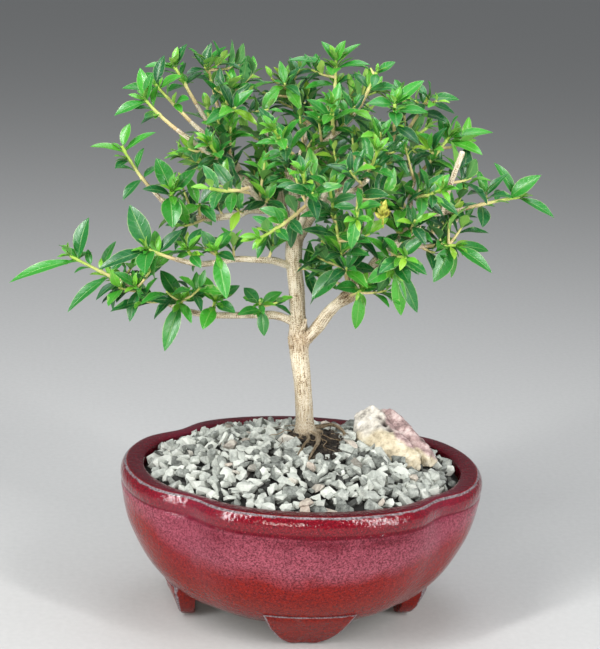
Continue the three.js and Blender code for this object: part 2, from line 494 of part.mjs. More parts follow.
// Leafy shoots whose place and leaves show against the background. Each has the three points that its
// stem bends through and its chief leaves, as [place along the stem, tip x, tip y, tip z, width].
const SHOWN_SHOOTS = {
  far_left: {
    stem: [[-97, 0, 174], [-106, -2, 178], [-123, -5, 187]],
    leaves: [
      [0.97, -153, -12, 173, 7], [1, -115, -2, 207, 9], [0.9, -109, 8, 190, 5.5], [1, -128, -16, 195, 4],
      [0.34, -123, -14, 160, 7], [0.34, -94, 6, 188, 6], [0.12, -109, -13, 167, 5], [0.1, -102, 2, 158, 4.5],
      [0.5, -103, 14, 192, 5],
    ],
  },
  low_left_a: {
    stem: [[-84, 2, 168], [-88, -2, 171], [-90, -5, 173]],
    leaves: [[0.9, -92, -10, 156, 6], [1, -79, 8, 187, 7], [1, -101, -12, 182, 5], [0.7, -80, -14, 170, 5]],
  },
  low_left_b: {
    stem: [[-68, 4, 161], [-67, 0, 165], [-67, -3, 167]],
    leaves: [
      [0.8, -74, -8, 141, 8], [0.9, -79, 6, 180, 8], [1, -54, 6, 170, 7], [0.7, -65, -12, 156, 4.5],
      [1, -82, -10, 168, 6.5],
    ],
  },
  low_left_c: {
    stem: [[-50, 6, 158], [-51, 3, 163], [-50, 0, 167]],
    leaves: [[0.9, -60, 10, 178, 8], [0.6, -55, -9, 154, 8], [1, -38, 8, 174, 6], [0.9, -39, -6, 163, 6.5]],
  },
  low_left_d: {
    stem: [[-26, 8, 159], [-26, 4, 163], [-27, 1, 166]],
    leaves: [[0.6, -24, 0, 150, 6], [1, -36, 8, 173, 6], [1, -16, 4, 173, 5.5], [0.8, -38, -6, 162, 5.5]],
  },
  mid_left_tip: {
    stem: [[-70, -18, 192], [-76, -20, 194], [-83, -22, 197]],
    leaves: [
      [1, -93, -18, 218, 10], [1, -106, -30, 187, 7], [0.95, -89, -36, 173, 12], [0.8, -67, -14, 206, 6.5],
      [0.75, -80, -8, 178, 7], [0.6, -79, -8, 208, 5],
    ],
  },
  mid_left_a: {
    stem: [[-58, -13, 189], [-61, -16, 193], [-63, -18, 196]],
    leaves: [
      [0.9, -70, -22, 205, 5.5], [1, -58, -8, 206, 6], [0.8, -70, -10, 190, 4.5], [0.8, -56, -26, 190, 5],
    ],
  },
  mid_left_b: {
    stem: [[-47, -9, 190], [-49, -12, 194], [-50, -14, 196]],
    leaves: [
      [0.7, -43, -22, 174, 8], [1, -61, -12, 203, 6], [1, -43, -5, 205, 6.5], [0.8, -40, -26, 190, 5],
    ],
  },
  high_left_tip: {
    stem: [[-84, 5, 221], [-92, 4, 229], [-99, 3, 241]],
    leaves: [
      [1, -115, -4, 243, 6], [1, -97, 8, 254, 5.5], [0.98, -84, 10, 250, 5.5], [0.8, -102, -6, 233, 5],
      [0.35, -98, -4, 217, 6], [0.4, -81, 12, 233, 5],
    ],
  },
  high_left_a: {
    stem: [[-75, 7, 213], [-75, 3, 218], [-74, -1, 222]],
    leaves: [
      [1, -83, 4, 238, 9], [0.9, -72, -12, 206, 10], [0.8, -60, 8, 229, 6.5], [0.9, -87, -8, 230, 6],
    ],
  },
  high_left_b: {
    stem: [[-60, 9, 209], [-61, 6, 213], [-60, 3, 217]],
    leaves: [[1, -50, 6, 227, 6.5], [1, -68, 8, 229, 5.5], [0.8, -69, -4, 211, 6], [0.8, -51, -6, 209, 6]],
  },
  fan_low: {
    stem: [[-72, -15, 256], [-81, -18, 263], [-87, -19, 270]],
    leaves: [
      [1, -101, -24, 262, 6], [1, -83, -24, 284, 6], [0.95, -93, -8, 281, 5.5], [0.5, -86, -28, 262, 6],
      [0.5, -90, -8, 256, 5],
    ],
  },
  fan_mid: {
    stem: [[-66, -6, 259], [-75, -8, 268], [-83, -10, 276]],
    leaves: [
      [1, -99, -14, 274, 5.5], [1, -80, -3, 290, 5.5], [0.9, -70, -16, 282, 6], [0.9, -90, 4, 280, 5],
      [0.45, -66, -16, 271, 6],
    ],
  },
  fan_high: {
    stem: [[-64, 5, 266], [-70, 6, 275], [-76, 7, 284]],
    leaves: [
      [1, -90, 2, 283, 6.5], [1, -70, 9, 295, 6], [0.95, -64, -2, 287, 6.5], [0.5, -78, -2, 272, 6],
      [0.5, -62, 14, 281, 5.5],
    ],
  },
  fan_top: {
    stem: [[-54, 12, 265], [-57, 14, 275], [-60, 15, 284]],
    leaves: [
      [1, -70, 10, 293, 6], [1, -51, 18, 294, 6.5], [0.95, -56, 4, 290, 6.5], [0.6, -46, 8, 279, 6.5],
      [0.6, -68, 22, 277, 5.5],
    ],
  },
  crown_top: {
    stem: [[5, 10, 268], [4, 13, 279], [4, 15, 290]],
    leaves: [
      [0.95, -20, 8, 290, 6.5], [1, 8, 13, 301, 6], [0.95, 21, 10, 290, 6], [1, -4, 22, 299, 4.5],
      [1, 16, 22, 299, 4], [0.85, 2, -2, 285, 7], [0.5, -11, 12, 276, 6.5], [0.5, 18, 20, 278, 6],
    ],
  },
  crown_right: {
    stem: [[17, 3, 270], [21, 1, 279], [24, 0, 288]],
    leaves: [[1, 33, 3, 293, 4.5], [0.95, 22, -9, 281, 4.5], [0.5, 34, -6, 281, 6.5], [0.5, 12, 10, 282, 5]],
  },
  right_high: {
    stem: [[34, -12, 256], [34, -14, 266], [33, -14, 276]],
    leaves: [
      [1, 47, -8, 286, 6.5], [0.9, 20, -16, 274, 7], [0.75, 50, -12, 271, 6], [0.75, 34, -32, 266, 6.5],
      [0.4, 22, -6, 259, 6], [0.4, 46, -22, 257, 6],
    ],
  },
  right_back: {
    stem: [[42, 14, 258], [47, 8, 268], [51, 1, 279]],
    leaves: [
      [1, 66, 5, 276, 5], [0.95, 46, -8, 289, 5], [0.9, 42, 12, 282, 5], [0.6, 60, -4, 266, 6.5],
      [0.5, 38, 18, 271, 6],
    ],
  },
  side_high: {
    stem: [[46, -11, 238], [55, -5, 248], [62, 0, 258]],
    leaves: [
      [1, 57, 4, 269, 7], [1, 84, 4, 261, 5.5], [1, 65, -8, 270, 6], [0.9, 78, -12, 252, 8],
      [0.4, 46, 6, 250, 6], [0.4, 62, -14, 245, 6.5], [0.7, 46, -10, 260, 6],
    ],
  },
  right_tip: {
    stem: [[72, -12, 225], [85, -10, 229], [97, -6, 231]],
    leaves: [
      [1, 85, -2, 247, 6.5], [0.9, 111, -7, 248, 9], [0.97, 85, -16, 226, 7.5], [1, 116, -12, 223, 6],
      [0.85, 107, 6, 236, 5.5], [0.3, 80, -22, 218, 7], [0.3, 80, 4, 218, 6.5],
    ],
  },
  low_right_tip: {
    stem: [[54, -17, 206], [60, -17, 207], [66, -16, 207]],
    leaves: [
      [1, 58, -26, 190, 9.5], [0.95, 68, -10, 189, 6], [1, 87, -20, 195, 7], [1, 86, -6, 203, 6],
      [0.6, 58, -30, 208, 6], [0.6, 62, -4, 214, 5.5],
    ],
  },
  low_right_drop: {
    stem: [[36, -18, 204], [39, -21, 199], [39, -22, 196]],
    leaves: [
      [1, 52, -18, 172, 7], [1, 44, -18, 170, 7], [0.95, 28, -26, 184, 7], [0.8, 46, -32, 190, 7.5],
      [0.7, 28, -12, 198, 5.5],
    ],
  },
  low_right_inner: {
    stem: [[18, -8, 176], [21, -14, 179], [23, -17, 182]],
    leaves: [[0.8, 22, -12, 160, 6.5], [0.8, 33, -16, 181, 5], [0.9, 32, -16, 196, 7], [1, 10, -26, 184, 7]],
  },
  front_riser: {
    stem: [[18, -6, 178], [12, -26, 200], [4, -36, 236]],
    leaves: [
      [0.3, -1, -20, 176, 9], [0.3, 30, -18, 192, 6.5], [0.62, -8, -34, 214, 5], [0.62, 26, -36, 210, 6.5],
      [0.8, -12, -34, 223, 5.5], [0.8, 14, -46, 228, 6], [0.98, -6, -44, 242, 6], [1, 12, -30, 249, 7],
    ],
  },
};

// Ends that the other leafy shoots grow towards, as spots on a dome: one in each cell of a spiral.
const DOME_CENTRE = new THREE.Vector3(0, 12, 222);
const DOME_RADII = new THREE.Vector3(82, 66, 62);
const DOME_SPOTS = 32;
const DOME_HIGHEST = 0.97;
const DOME_LOWEST = -0.28;
const SPOT_CLEARANCE = 15;
const SHOOT_LIMIT = 34;
const SHOOT_SAG = 2.5;
const GOLDEN_ANGLE = Math.PI * (3 - Math.sqrt(5));

const solids = [];

function addSolid(name, solid, color, roughness) {
  const material = new THREE.MeshStandardMaterial({ color, roughness, metalness: 0, flatShading: true });
  const mesh = new THREE.Mesh(toGeometry(solid), material);
  mesh.name = name;
  solids.push(mesh);
}

// Whether two bounding boxes lie apart: a quick test before a cut.
function apart(a, b) {
  return [0, 1, 2].some((i) => a.max[i] < b.min[i] || b.max[i] < a.min[i]);
}

// Outlines of a leaf as [share of its length, share of its width], up to its pointed tip.
const NARROW_OUTLINE = [[0.34, 1], [0.7, 0.82]];
const WIDE_OUTLINE = [[0.2, 0.68], [0.45, 1], [0.74, 0.76]];
const ROOM_OUTLINE = [[0.1, 0.36], [0.34, 1], [0.7, 0.84]];

// The rings of one leaf, from its base point, its tip and the way that its upper face looks. Its midrib is
// an arc, and its section a flat top over a keel. The rings run anticlockwise seen from the tip.
function leafRings(base, tip, width, upward, outline, grow) {
  const chord = tip.clone().sub(base);
  const reach = chord.length();
  chord.divideScalar(reach);
  const lift = upward.clone().addScaledVector(chord, -upward.dot(chord)).normalize();
  const lean = LEAF_DROOP / 2;
  const along = chord.clone().multiplyScalar(Math.cos(lean)).addScaledVector(lift, Math.sin(lean));
  const up = lift.clone().multiplyScalar(Math.cos(lean)).addScaledVector(chord, -Math.sin(lean));
  const side = along.clone().cross(up).normalize();
  const bendRadius = reach / (2 * Math.sin(lean));
  const rings = outline.map(([s, share]) => {
    const turn = LEAF_DROOP * s;
    const middle = base.clone()
      .addScaledVector(along, bendRadius * Math.sin(turn))
      .addScaledVector(up, -bendRadius * (1 - Math.cos(turn)));
    const face = up.clone().multiplyScalar(Math.cos(turn)).addScaledVector(along, Math.sin(turn));
    const half = (share * width) / 2 + grow;
    return [
      middle.clone().addScaledVector(side, half).addScaledVector(face, grow),
      middle.clone().addScaledVector(face, -LEAF_KEEL - grow),
      middle.clone().addScaledVector(side, -half).addScaledVector(face, grow),
    ];
  });
  rings.push([tip.clone().addScaledVector(chord, grow)]);
  return rings;
}

function leafRoom(base, tip, width, upward, grow) {
  return toSolid(skin(leafRings(base, tip, width, upward, ROOM_OUTLINE, grow)));
}

// The changes of course that a leaf tries in turn, to clear its neighbours, as [turn about its stem, lift,
// share of its reach, share of its width].
const COURSES = [
  [0, 0, 1, 1], [0, 0.3, 1, 1], [0.35, 0, 0.95, 0.95], [-0.35, 0, 0.95, 0.95], [0, -0.35, 0.95, 0.95],
  [0.3, 0.4, 0.85, 0.85], [-0.3, 0.4, 0.85, 0.85], [0.6, 0.2, 0.8, 0.8], [-0.6, 0.2, 0.8, 0.8],
  [0, 0.2, 0.62, 0.62], [0.5, -0.3, 0.62, 0.62], [0, 0, 1, 0.55], [0, 0.3, 0.95, 0.5], [0.3, 0, 0.95, 0.5],
  [-0.3, 0, 0.95, 0.5],
];

function bentTip(base, tip, tangent, course) {
  const [turn, lift, share] = course;
  const chord = tip.clone().sub(base).multiplyScalar(share);
  chord.applyAxisAngle(tangent, turn);
  const across = chord.clone().cross(WORLD_UP).normalize();
  chord.applyAxisAngle(across, lift);
  return base.clone().add(chord);
}

// The upper face of a leaf looks up and towards its stem's tip.
function faceOf(tangent) {
  return WORLD_UP.clone().multiplyScalar(0.8).addScaledVector(tangent, 0.6);
}

// The direction of a stem at t, which may lie a little past its end.
function stemWay(curve, t) {
  const first = curve.v1.clone().sub(curve.v0);
  const last = curve.v2.clone().sub(curve.v1);
  return first.lerp(last, t).normalize();
}

// Two directions square to the stem: one level, and one up from it.
function stemFrame(tangent) {
  const side = new THREE.Vector3().crossVectors(WORLD_UP, tangent).normalize();
  return [side, tangent.clone().cross(side)];
}

// A direction square to the stem, turned about it from the level.
function outwardAt(tangent, turn) {
  const [side, rise] = stemFrame(tangent);
  return side.multiplyScalar(Math.cos(turn)).addScaledVector(rise, Math.sin(turn));
}

// Leaves in crossed pairs up the stem, with a close pair of small ones at its tip.
function pairedLeaves(curve, seed, start) {
  const pairs = Math.max(2, Math.min(5, Math.round(curve.getLength() / INTERNODE)));
  const leaves = [];
  for (let k = 0; k <= pairs; k++) {
    const atTip = k === pairs;
    const t = atTip ? 1 : 0.24 + (0.72 * k) / pairs;
    const tangent = stemWay(curve, t);
    for (let half = 0; half < 2; half++) {
      const n = 2 * k + half;
      const turn = start + (k * Math.PI) / 2 + half * Math.PI + (chance(seed, n, 2) - 0.5) * 0.5;
      const open = atTip ? 0.62 : 1.02 + 0.25 * chance(seed, n, 3);
      const reach = atTip ? 10 : 12 + 6 * chance(seed, n, 4);
      const chord = outwardAt(tangent, turn).multiplyScalar(Math.sin(open));
      chord.addScaledVector(tangent, Math.cos(open)).addScaledVector(WORLD_UP, LEAF_RISE);
      const tip = curve.getPoint(t).addScaledVector(chord.normalize(), reach);
      leaves.push({ t, tip, width: reach * (0.38 + 0.08 * chance(seed, n, 5)) });
    }
  }
  return leaves;
}

// The free face of a node that looks most along a leaf, or -1 where none does well enough.
function bestFace(node, chord) {
  let best = -1;
  let most = LEAST_OUTWARD;
  node.faces.forEach((normal, f) => {
    if (!node.taken.includes(f) && normal.dot(chord) > most) {
      most = normal.dot(chord);
      best = f;
    }
  });
  return best;
}

function nodeAt(shoot, place) {
  const centre = shoot.curve.getPoint(place / shoot.length);
  const tangent = stemWay(shoot.curve, place / shoot.length);
  const faces = [0, 1, 2, 3].map((f) => outwardAt(tangent, shoot.start + (f * Math.PI) / 2));
  return { place, centre, tangent, faces, taken: [], leaves: [] };
}

// Shares the leaves of a shoot out to nodes on its square stem, one to a face, lowest first.
function settleLeaves(shoot) {
  const lowest = shoot.from + NODE_HEIGHT / 2 + NODE_SPACE;
  shoot.nodes = [];
  const order = [...shoot.leaves].sort((a, b) => a.t - b.t);
  for (const leaf of order) {
    const chord = leaf.tip.clone().sub(shoot.curve.getPoint(leaf.t)).normalize();
    const place = leaf.t * shoot.length;
    let node = shoot.nodes[shoot.nodes.length - 1];
    const near = node !== undefined && place - node.place < 2 * NODE_HEIGHT;
    if (!near || bestFace(node, chord) < 0) {
      const least = node === undefined ? lowest : node.place + NODE_HEIGHT + NODE_SPACE;
      node = nodeAt(shoot, Math.max(least, place));
      shoot.nodes.push(node);
    }
    leaf.node = node;
    leaf.face = Math.max(0, bestFace(node, chord));
    leaf.base = node.centre.clone().addScaledVector(node.faces[leaf.face], STEM_RADIUS * Math.SQRT1_2);
    node.taken.push(leaf.face);
    node.leaves.push(leaf);
  }
}

const wholeTurn = 2 * Math.PI;
const wrap = (angle) => angle - wholeTurn * Math.floor(angle / wholeTurn);

// The turn of each point of a ring about the ring's middle, seen along axis.
function turnsAbout(points, axis) {
  const [level, rise] = stemFrame(axis);
  const middle = new THREE.Vector3();
  for (const point of points) middle.addScaledVector(point, 1 / points.length);
  return points.map((point) => {
    const arm = point.clone().sub(middle);
    return Math.atan2(arm.dot(rise), arm.dot(level));
  });
}

// The band of triangles between a face of the stem and the first ring of a leaf, as corners [0, n] of the
// face and [1, n] of the ring. Both run anticlockwise seen from the tip.
function zip(face, ring, axis) {
  const from = turnsAbout(face, axis);
  const to = turnsAbout(ring, axis);
  const apartBy = (k) => Math.min(wrap(to[k] - from[0]), wrap(from[0] - to[k]));
  let i = 0;
  let j = ring.reduce((best, point, k) => (apartBy(k) < apartBy(best) ? k : best), 0);
  let faceTurn = 0;
  let ringTurn = wrap(to[j] - from[0] + Math.PI) - Math.PI;
  let faceSteps = 0;
  let ringSteps = 0;
  const band = [];
  while (faceSteps < face.length || ringSteps < ring.length) {
    const nextI = (i + 1) % face.length;
    const nextJ = (j + 1) % ring.length;
    const nextFaceTurn = faceTurn + wrap(from[nextI] - from[i]);
    const nextRingTurn = ringTurn + wrap(to[nextJ] - to[j]);
    if (ringSteps === ring.length || (faceSteps < face.length && nextFaceTurn <= nextRingTurn)) {
      band.push([[0, i], [0, nextI], [1, j]]);
      i = nextI;
      faceTurn = nextFaceTurn;
      faceSteps++;
    } else {
      band.push([[0, i], [1, nextJ], [1, j]]);
      j = nextJ;
      ringTurn = nextRingTurn;
      ringSteps++;
    }
  }
  return band;
}

// The whole shoot as one skin: a square stem with two rings at each node, and a leaf drawn out of each
// face that bears one, up to a pointed bud. Each triangle is listed with the leaf that it is part of.
function shootSkin(shoot) {
  const points = [];
  const triangles = [];
  let owner = null;
  const put = (point) => points.push(point) - 1;
  const face3 = (a, b, c) => triangles.push({ corners: [a, b, c], owner });
  const ringAt = (place) => {
    const t = place / shoot.length;
    const centre = shoot.curve.getPoint(t);
    const tangent = stemWay(shoot.curve, t);
    const radius = THREE.MathUtils.lerp(STEM_RADIUS, TIP_RADIUS, t);
    return [0, 1, 2, 3].map((corner) => {
      const turn = shoot.start + ((corner - 0.5) * Math.PI) / 2;
      return put(centre.clone().addScaledVector(outwardAt(tangent, turn), radius));
    });
  };
  const quad = (a, b, c, d) => {
    face3(a, b, c);
    face3(a, c, d);
  };
  const join = (low, high, borne) => {
    for (let f = 0; f < 4; f++) {
      const g = (f + 1) % 4;
      if (!borne.includes(f)) quad(low[f], low[g], high[g], high[f]);
    }
  };
  const drawOut = (leaf, face) => {
    owner = leaf;
    const outline = leaf.width > WIDE_LEAF ? WIDE_OUTLINE : NARROW_OUTLINE;
    const rings = leafRings(leaf.base, leaf.settled, leaf.width, faceOf(leaf.node.tangent), outline, 0);
    const axis = rings[0][0].clone().lerp(rings[0][2], 0.5).sub(leaf.base).normalize();
    const slots = rings.map((ring) => ring.map(put));
    for (const triangle of zip(face.map((k) => points[k]), rings[0], axis)) {
      face3(...triangle.map(([onRing, n]) => (onRing ? slots[0][n] : face[n])));
    }
    for (let k = 0; k + 1 < slots.length; k++) {
      const [near, far] = [slots[k], slots[k + 1]];
      for (let i = 0; i < 3; i++) {
        const next = (i + 1) % 3;
        if (far.length === 1) face3(near[i], near[next], far[0]);
        else quad(near[i], near[next], far[next], far[i]);
      }
    }
    owner = null;
  };
  let below = ringAt(shoot.from);
  quad(below[0], below[3], below[2], below[1]);
  let top = shoot.from;
  for (const node of shoot.nodes) {
    const borne = node.leaves.filter((leaf) => leaf.settled);
    const low = ringAt(node.place - NODE_HEIGHT / 2);
    const high = ringAt(node.place + NODE_HEIGHT / 2);
    join(below, low, []);
    join(low, high, borne.map((leaf) => leaf.face));
    for (const leaf of borne) {
      const next = (leaf.face + 1) % 4;
      drawOut(leaf, [low[leaf.face], low[next], high[next], high[leaf.face]]);
    }
    below = high;
    top = node.place + NODE_HEIGHT / 2;
  }
  const bud = put(shoot.curve.getPoint((top + BUD_LENGTH) / shoot.length));
  for (let f = 0; f < 4; f++) face3(below[f], below[(f + 1) % 4], bud);
  return { points, triangles };
}

function growShoot(shoot) {
  const { points, triangles } = shootSkin(shoot);
  const geometry = new THREE.BufferGeometry().setFromPoints(points);
  geometry.setIndex(triangles.flatMap((triangle) => triangle.corners));
  return toSolid(geometry);
}

// Whether a leaf's triangles and the rest of its shoot's skin pass through each other.
function passesThrough(shoot, leaf) {
  const { points, triangles } = shootSkin(shoot);
  const ray = new THREE.Ray();
  const hit = new THREE.Vector3();
  const pierced = (edges, triangle) => edges.some((start, n) => {
    const end = edges[(n + 1) % 3];
    if (triangle.includes(start) || triangle.includes(end)) return false;
    ray.origin.copy(points[start]);
    ray.lookAt(points[end]);
    const [a, b, c] = triangle.map((k) => points[k]);
    if (ray.intersectTriangle(a, b, c, false, hit) === null) return false;
    return hit.distanceTo(ray.origin) < points[start].distanceTo(points[end]);
  });
  const own = triangles.filter((triangle) => triangle.owner === leaf);
  return own.some((mine) => triangles.some((other) => other !== mine
    && (pierced(mine.corners, other.corners) || pierced(other.corners, mine.corners))));
}

// A spot on the dome, as wide as DOME_RADII and pushed in or out a little.
function domeSpot(i) {
  const height = THREE.MathUtils.lerp(DOME_HIGHEST, DOME_LOWEST, i / (DOME_SPOTS - 1));
  const level = Math.sqrt(1 - height * height);
  const turn = GOLDEN_ANGLE * i;
  return new THREE.Vector3(level * Math.cos(turn), level * Math.sin(turn), height)
    .multiply(DOME_RADII)
    .multiplyScalar(0.88 + 0.14 * chance(i, 1, 31))
    .add(DOME_CENTRE);
}

// The points of the limbs that a shoot may grow from: their corners and the middles between them.
function shootRoots() {
  const roots = [];
  for (const [name, run] of Object.entries(LIMBS)) {
    if (name === 'trunk' || name.startsWith('root')) continue;
    for (let k = 1; k < run.length; k++) {
      roots.push(v3(run[k]));
      roots.push(v3(run[k]).lerp(v3(run[k - 1]), 0.5));
    }
  }
  return roots;
}

// Every shoot: the shown ones, and one for each free spot on the dome, from the nearest wood under it.
function planShoots() {
  const shoots = [];
  const tips = [];
  for (const [name, shown] of Object.entries(SHOWN_SHOOTS)) {
    const curve = new THREE.QuadraticBezierCurve3(...shown.stem.map((p) => treePoint(v3(p))));
    const leaves = shown.leaves.map(([t, x, y, z, width]) => ({ t, tip: treePoint(v3([x, y, z])), width }));
    shoots.push({ name, curve, leaves, start: Math.PI / 4 });
    tips.push(v3(shown.stem[2]));
  }
  const roots = shootRoots();
  for (let i = 0; i < DOME_SPOTS; i++) {
    const spot = domeSpot(i);
    if (tips.some((tip) => tip.distanceTo(spot) < SPOT_CLEARANCE)) continue;
    tips.push(spot);
    const inward = spot.clone().sub(DOME_CENTRE).multiply(new THREE.Vector3(1, 1, 0.6)).add(v3([0, 0, 14]));
    const under = spot.clone().addScaledVector(inward.normalize(), -16);
    const root = roots.reduce((best, p) => (p.distanceTo(under) < best.distanceTo(under) ? p : best));
    const run = spot.clone().sub(root).clampLength(0, SHOOT_LIMIT);
    const end = root.clone().add(run);
    const bend = root.clone().lerp(end, 0.5).addScaledVector(WORLD_UP, -SHOOT_SAG);
    const curve = new THREE.QuadraticBezierCurve3(treePoint(root), treePoint(bend), treePoint(end));
    const start = chance(i, 0, 1) * Math.PI;
    const name = `dome_${String(i).padStart(2, '0')}`;
    shoots.push({ name, curve, leaves: pairedLeaves(curve, i, start), start });
  }
  return shoots;
}

// A plain stem, to find what it clears.
function stemTube(shoot, pad) {
  const end = shoot.length + BUD_LENGTH;
  const stops = [shoot.from, (shoot.from + end) / 2, end];
  const points = stops.map((place) => shoot.curve.getPoint(place / shoot.length));
  return toSolid(tube(points, [STEM_RADIUS, STEM_RADIUS, STEM_RADIUS], 4, pad));
}

// Grows every shoot: first the stems, each from where it clears the wood, and then the leaves in rounds,
// each on the first course that clears all that is there.
function makeShoots(wood, woodRoom) {
  const placed = [];
  const place = (solid, owner, stem) => placed.push({ solid, bounds: solid.boundingBox(), owner, stem });
  const crosses = (solid, counts) => {
    const bounds = solid.boundingBox();
    return placed.some((other) => counts(other) && !apart(other.bounds, bounds)
      && !solid.intersect(other.solid).isEmpty());
  };
  place(wood, null, false);
  const shoots = [];
  for (const shoot of planShoots()) {
    shoot.length = shoot.curve.getLength();
    shoot.from = STEM_STEP;
    while (!stemTube(shoot, 0).intersect(woodRoom).isEmpty()) shoot.from += STEM_STEP;
    if (crosses(stemTube(shoot, GAP), (other) => other.owner !== null)) continue;
    place(stemTube(shoot, 0), shoot, true);
    settleLeaves(shoot);
    shoots.push(shoot);
  }
  const settle = (leaf, shoot) => {
    const { tangent, faces } = leaf.node;
    const upward = faceOf(tangent);
    for (const course of COURSES) {
      const tip = bentTip(leaf.base, leaf.tip, tangent, course);
      const width = leaf.width * course[3];
      const chord = tip.clone().sub(leaf.base).normalize();
      const room = leafRoom(leaf.base, tip, width, upward, LEAF_ROOM);
      const slim = leafRoom(leaf.base, tip, width, upward, SLIM_ROOM);
      const clear = faces[leaf.face].dot(chord) > LEAST_OUTWARD
        && !crosses(room, (other) => other.owner !== shoot)
        && !crosses(slim, (other) => other.owner === shoot && !other.stem);
      if (!clear) continue;
      const settled = { tip: leaf.settled, width: leaf.width };
      leaf.settled = tip;
      leaf.width = width;
      if (!passesThrough(shoot, leaf)) {
        place(slim, shoot, false);
        return;
      }
      leaf.settled = settled.tip;
      leaf.width = settled.width;
    }
  };
  const rounds = Math.max(...shoots.map((shoot) => shoot.leaves.length));
  for (let n = 0; n < rounds; n++) {
    for (const shoot of shoots) if (n < shoot.leaves.length) settle(shoot.leaves[n], shoot);
  }
  for (const shoot of shoots) addSolid(`shoot_${shoot.name}`, growShoot(shoot), 0x3f8f2c, 0.5);
}

const wood = makeWood(0);
const woodRoom = makeWood(GAP);
const stone = makeStone(1);
const stoneRoom = makeStone(STONE_ROOM);
const fill = toSolid(potHollow(WALL_GAP, FLOOR_TOP + GAP, RIM_HEIGHT + 30));

addSolid('pot', makePot(), 0x6d1422, 0.25);
addSolid('drain_screen_left', makeScreen(-1), 0x2b2b2b, 0.6);
addSolid('drain_screen_right', makeScreen(1), 0x2b2b2b, 0.6);

let soil = soilMound(0).add(soilCollar(0)).intersect(fill).subtract(woodRoom).subtract(stoneRoom);
for (const side of [-1, 1]) {
  const pocketRadius = SCREEN_RADIUS + GAP;
  const pocket = new THREE.CylinderGeometry(pocketRadius, pocketRadius, 4 * SCREEN_THICKNESS, 16);
  pocket.rotateX(Math.PI / 2);
  pocket.translate(side * DRAIN_OFFSET, 0, FLOOR_TOP + 2 * GAP - SCREEN_THICKNESS);
  soil = soil.subtract(toSolid(pocket));
}
addSolid('soil', largest(soil), 0x2a2119, 0.95);

const gravel = gravelRelief()
  .intersect(fill)
  .subtract(soilMound(GAP))
  .subtract(soilCollar(GAP))
  .subtract(woodRoom)
  .subtract(stoneRoom);
addSolid('gravel', largest(gravel), 0x9aa098, 0.9);
addSolid('accent_stone', stone, 0xd9c3b0, 0.8);
addSolid('wood', wood, 0xc9b18c, 0.85);
makeShoots(wood, woodRoom);

const group = new THREE.Group();
for (const mesh of solids) group.add(mesh);
const box = new THREE.Box3().setFromObject(group);
group.position.set(-(box.min.x + box.max.x) / 2, -(box.min.y + box.max.y) / 2, 0);

export default group;
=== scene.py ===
"""Serissa bonsai in a glazed mokko pot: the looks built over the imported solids.

Shapes are worked out in millimetres in the pot's own frame (X along the pot, its front faces -Y, Z up from
the ground) and are turned to metres in the part's frame when a mesh is made. The tree is described in a
frame of its own, turned a little from the pot's about the upright, as in the part's source.
"""
import functools
import itertools
import math

import bmesh
import bpy
import numpy as np
from mathutils import Matrix, Vector


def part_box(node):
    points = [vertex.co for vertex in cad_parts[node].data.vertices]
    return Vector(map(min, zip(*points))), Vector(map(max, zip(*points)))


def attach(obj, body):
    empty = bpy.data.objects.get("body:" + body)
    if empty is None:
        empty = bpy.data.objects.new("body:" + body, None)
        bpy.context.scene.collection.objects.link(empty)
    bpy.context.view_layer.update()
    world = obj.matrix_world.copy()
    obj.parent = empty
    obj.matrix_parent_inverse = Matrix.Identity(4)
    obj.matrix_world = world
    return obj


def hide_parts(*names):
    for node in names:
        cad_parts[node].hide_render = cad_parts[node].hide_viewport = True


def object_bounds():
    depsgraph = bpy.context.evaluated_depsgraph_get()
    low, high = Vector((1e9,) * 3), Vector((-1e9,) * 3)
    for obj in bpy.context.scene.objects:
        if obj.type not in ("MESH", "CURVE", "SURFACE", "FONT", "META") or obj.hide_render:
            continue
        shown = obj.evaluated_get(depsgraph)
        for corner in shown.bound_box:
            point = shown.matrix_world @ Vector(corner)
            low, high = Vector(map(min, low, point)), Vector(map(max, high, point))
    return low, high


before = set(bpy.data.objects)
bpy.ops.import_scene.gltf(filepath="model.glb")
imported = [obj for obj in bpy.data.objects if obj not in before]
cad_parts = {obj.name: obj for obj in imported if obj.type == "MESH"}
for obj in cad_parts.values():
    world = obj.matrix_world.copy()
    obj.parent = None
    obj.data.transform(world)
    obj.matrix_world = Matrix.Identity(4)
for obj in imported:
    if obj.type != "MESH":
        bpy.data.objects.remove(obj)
CAD_BOX = [list(corner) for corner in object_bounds()]

MM = 0.001
# The pot's middle in plan, and the box that the solids take up, in millimetres in the pot's frame
POT_LOW, POT_HIGH = (np.array(corner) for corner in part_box("pot"))
SHIFT = np.array([*((POT_LOW + POT_HIGH) / 2)[:2], 0]) / MM
ROOM_LOW, ROOM_HIGH = (np.array(corner) / MM - SHIFT for corner in CAD_BOX)

# Driving dimensions, as in the part's source
POT_HALF_LENGTH = 95
POT_HALF_WIDTH = 78
LIP_WIDTH = 12
FLOOR_UNDERSIDE = 13
FLOOR_TOP = 20
NOTCH_DEPTH = 0.062
NOTCH_SPREAD = 0.17
FOOT_TOP_WIDTH = 46
FOOT_BOTTOM_WIDTH = 13
FRONT_FOOT_REACH = 48.5
END_FOOT_REACH = 66.5
FOOT_LEAN = 0.3
FOOT_THICKNESS = 13
DRAIN_OFFSET = 34
DRAIN_RADIUS = 7
GRAVEL_EDGE_HEIGHT = 78.5
GRAVEL_CROWN = 16.5
TREE_TURN = math.radians(-8.2)
TREE_COS, TREE_SIN = math.cos(TREE_TURN), math.sin(TREE_TURN)
CAMERA_STAND = [-6, -789, 374]
STEM_RADIUS = 1
TIP_RADIUS = 0.75
LEAF_DROOP = 0.6
INTERNODE = 6.4
NODE_HEIGHT = 1.5
NODE_SPACE = 0.7
STEM_STEP = 0.2
LEAST_OUTWARD = 0.27
LEAF_RISE = 0.12

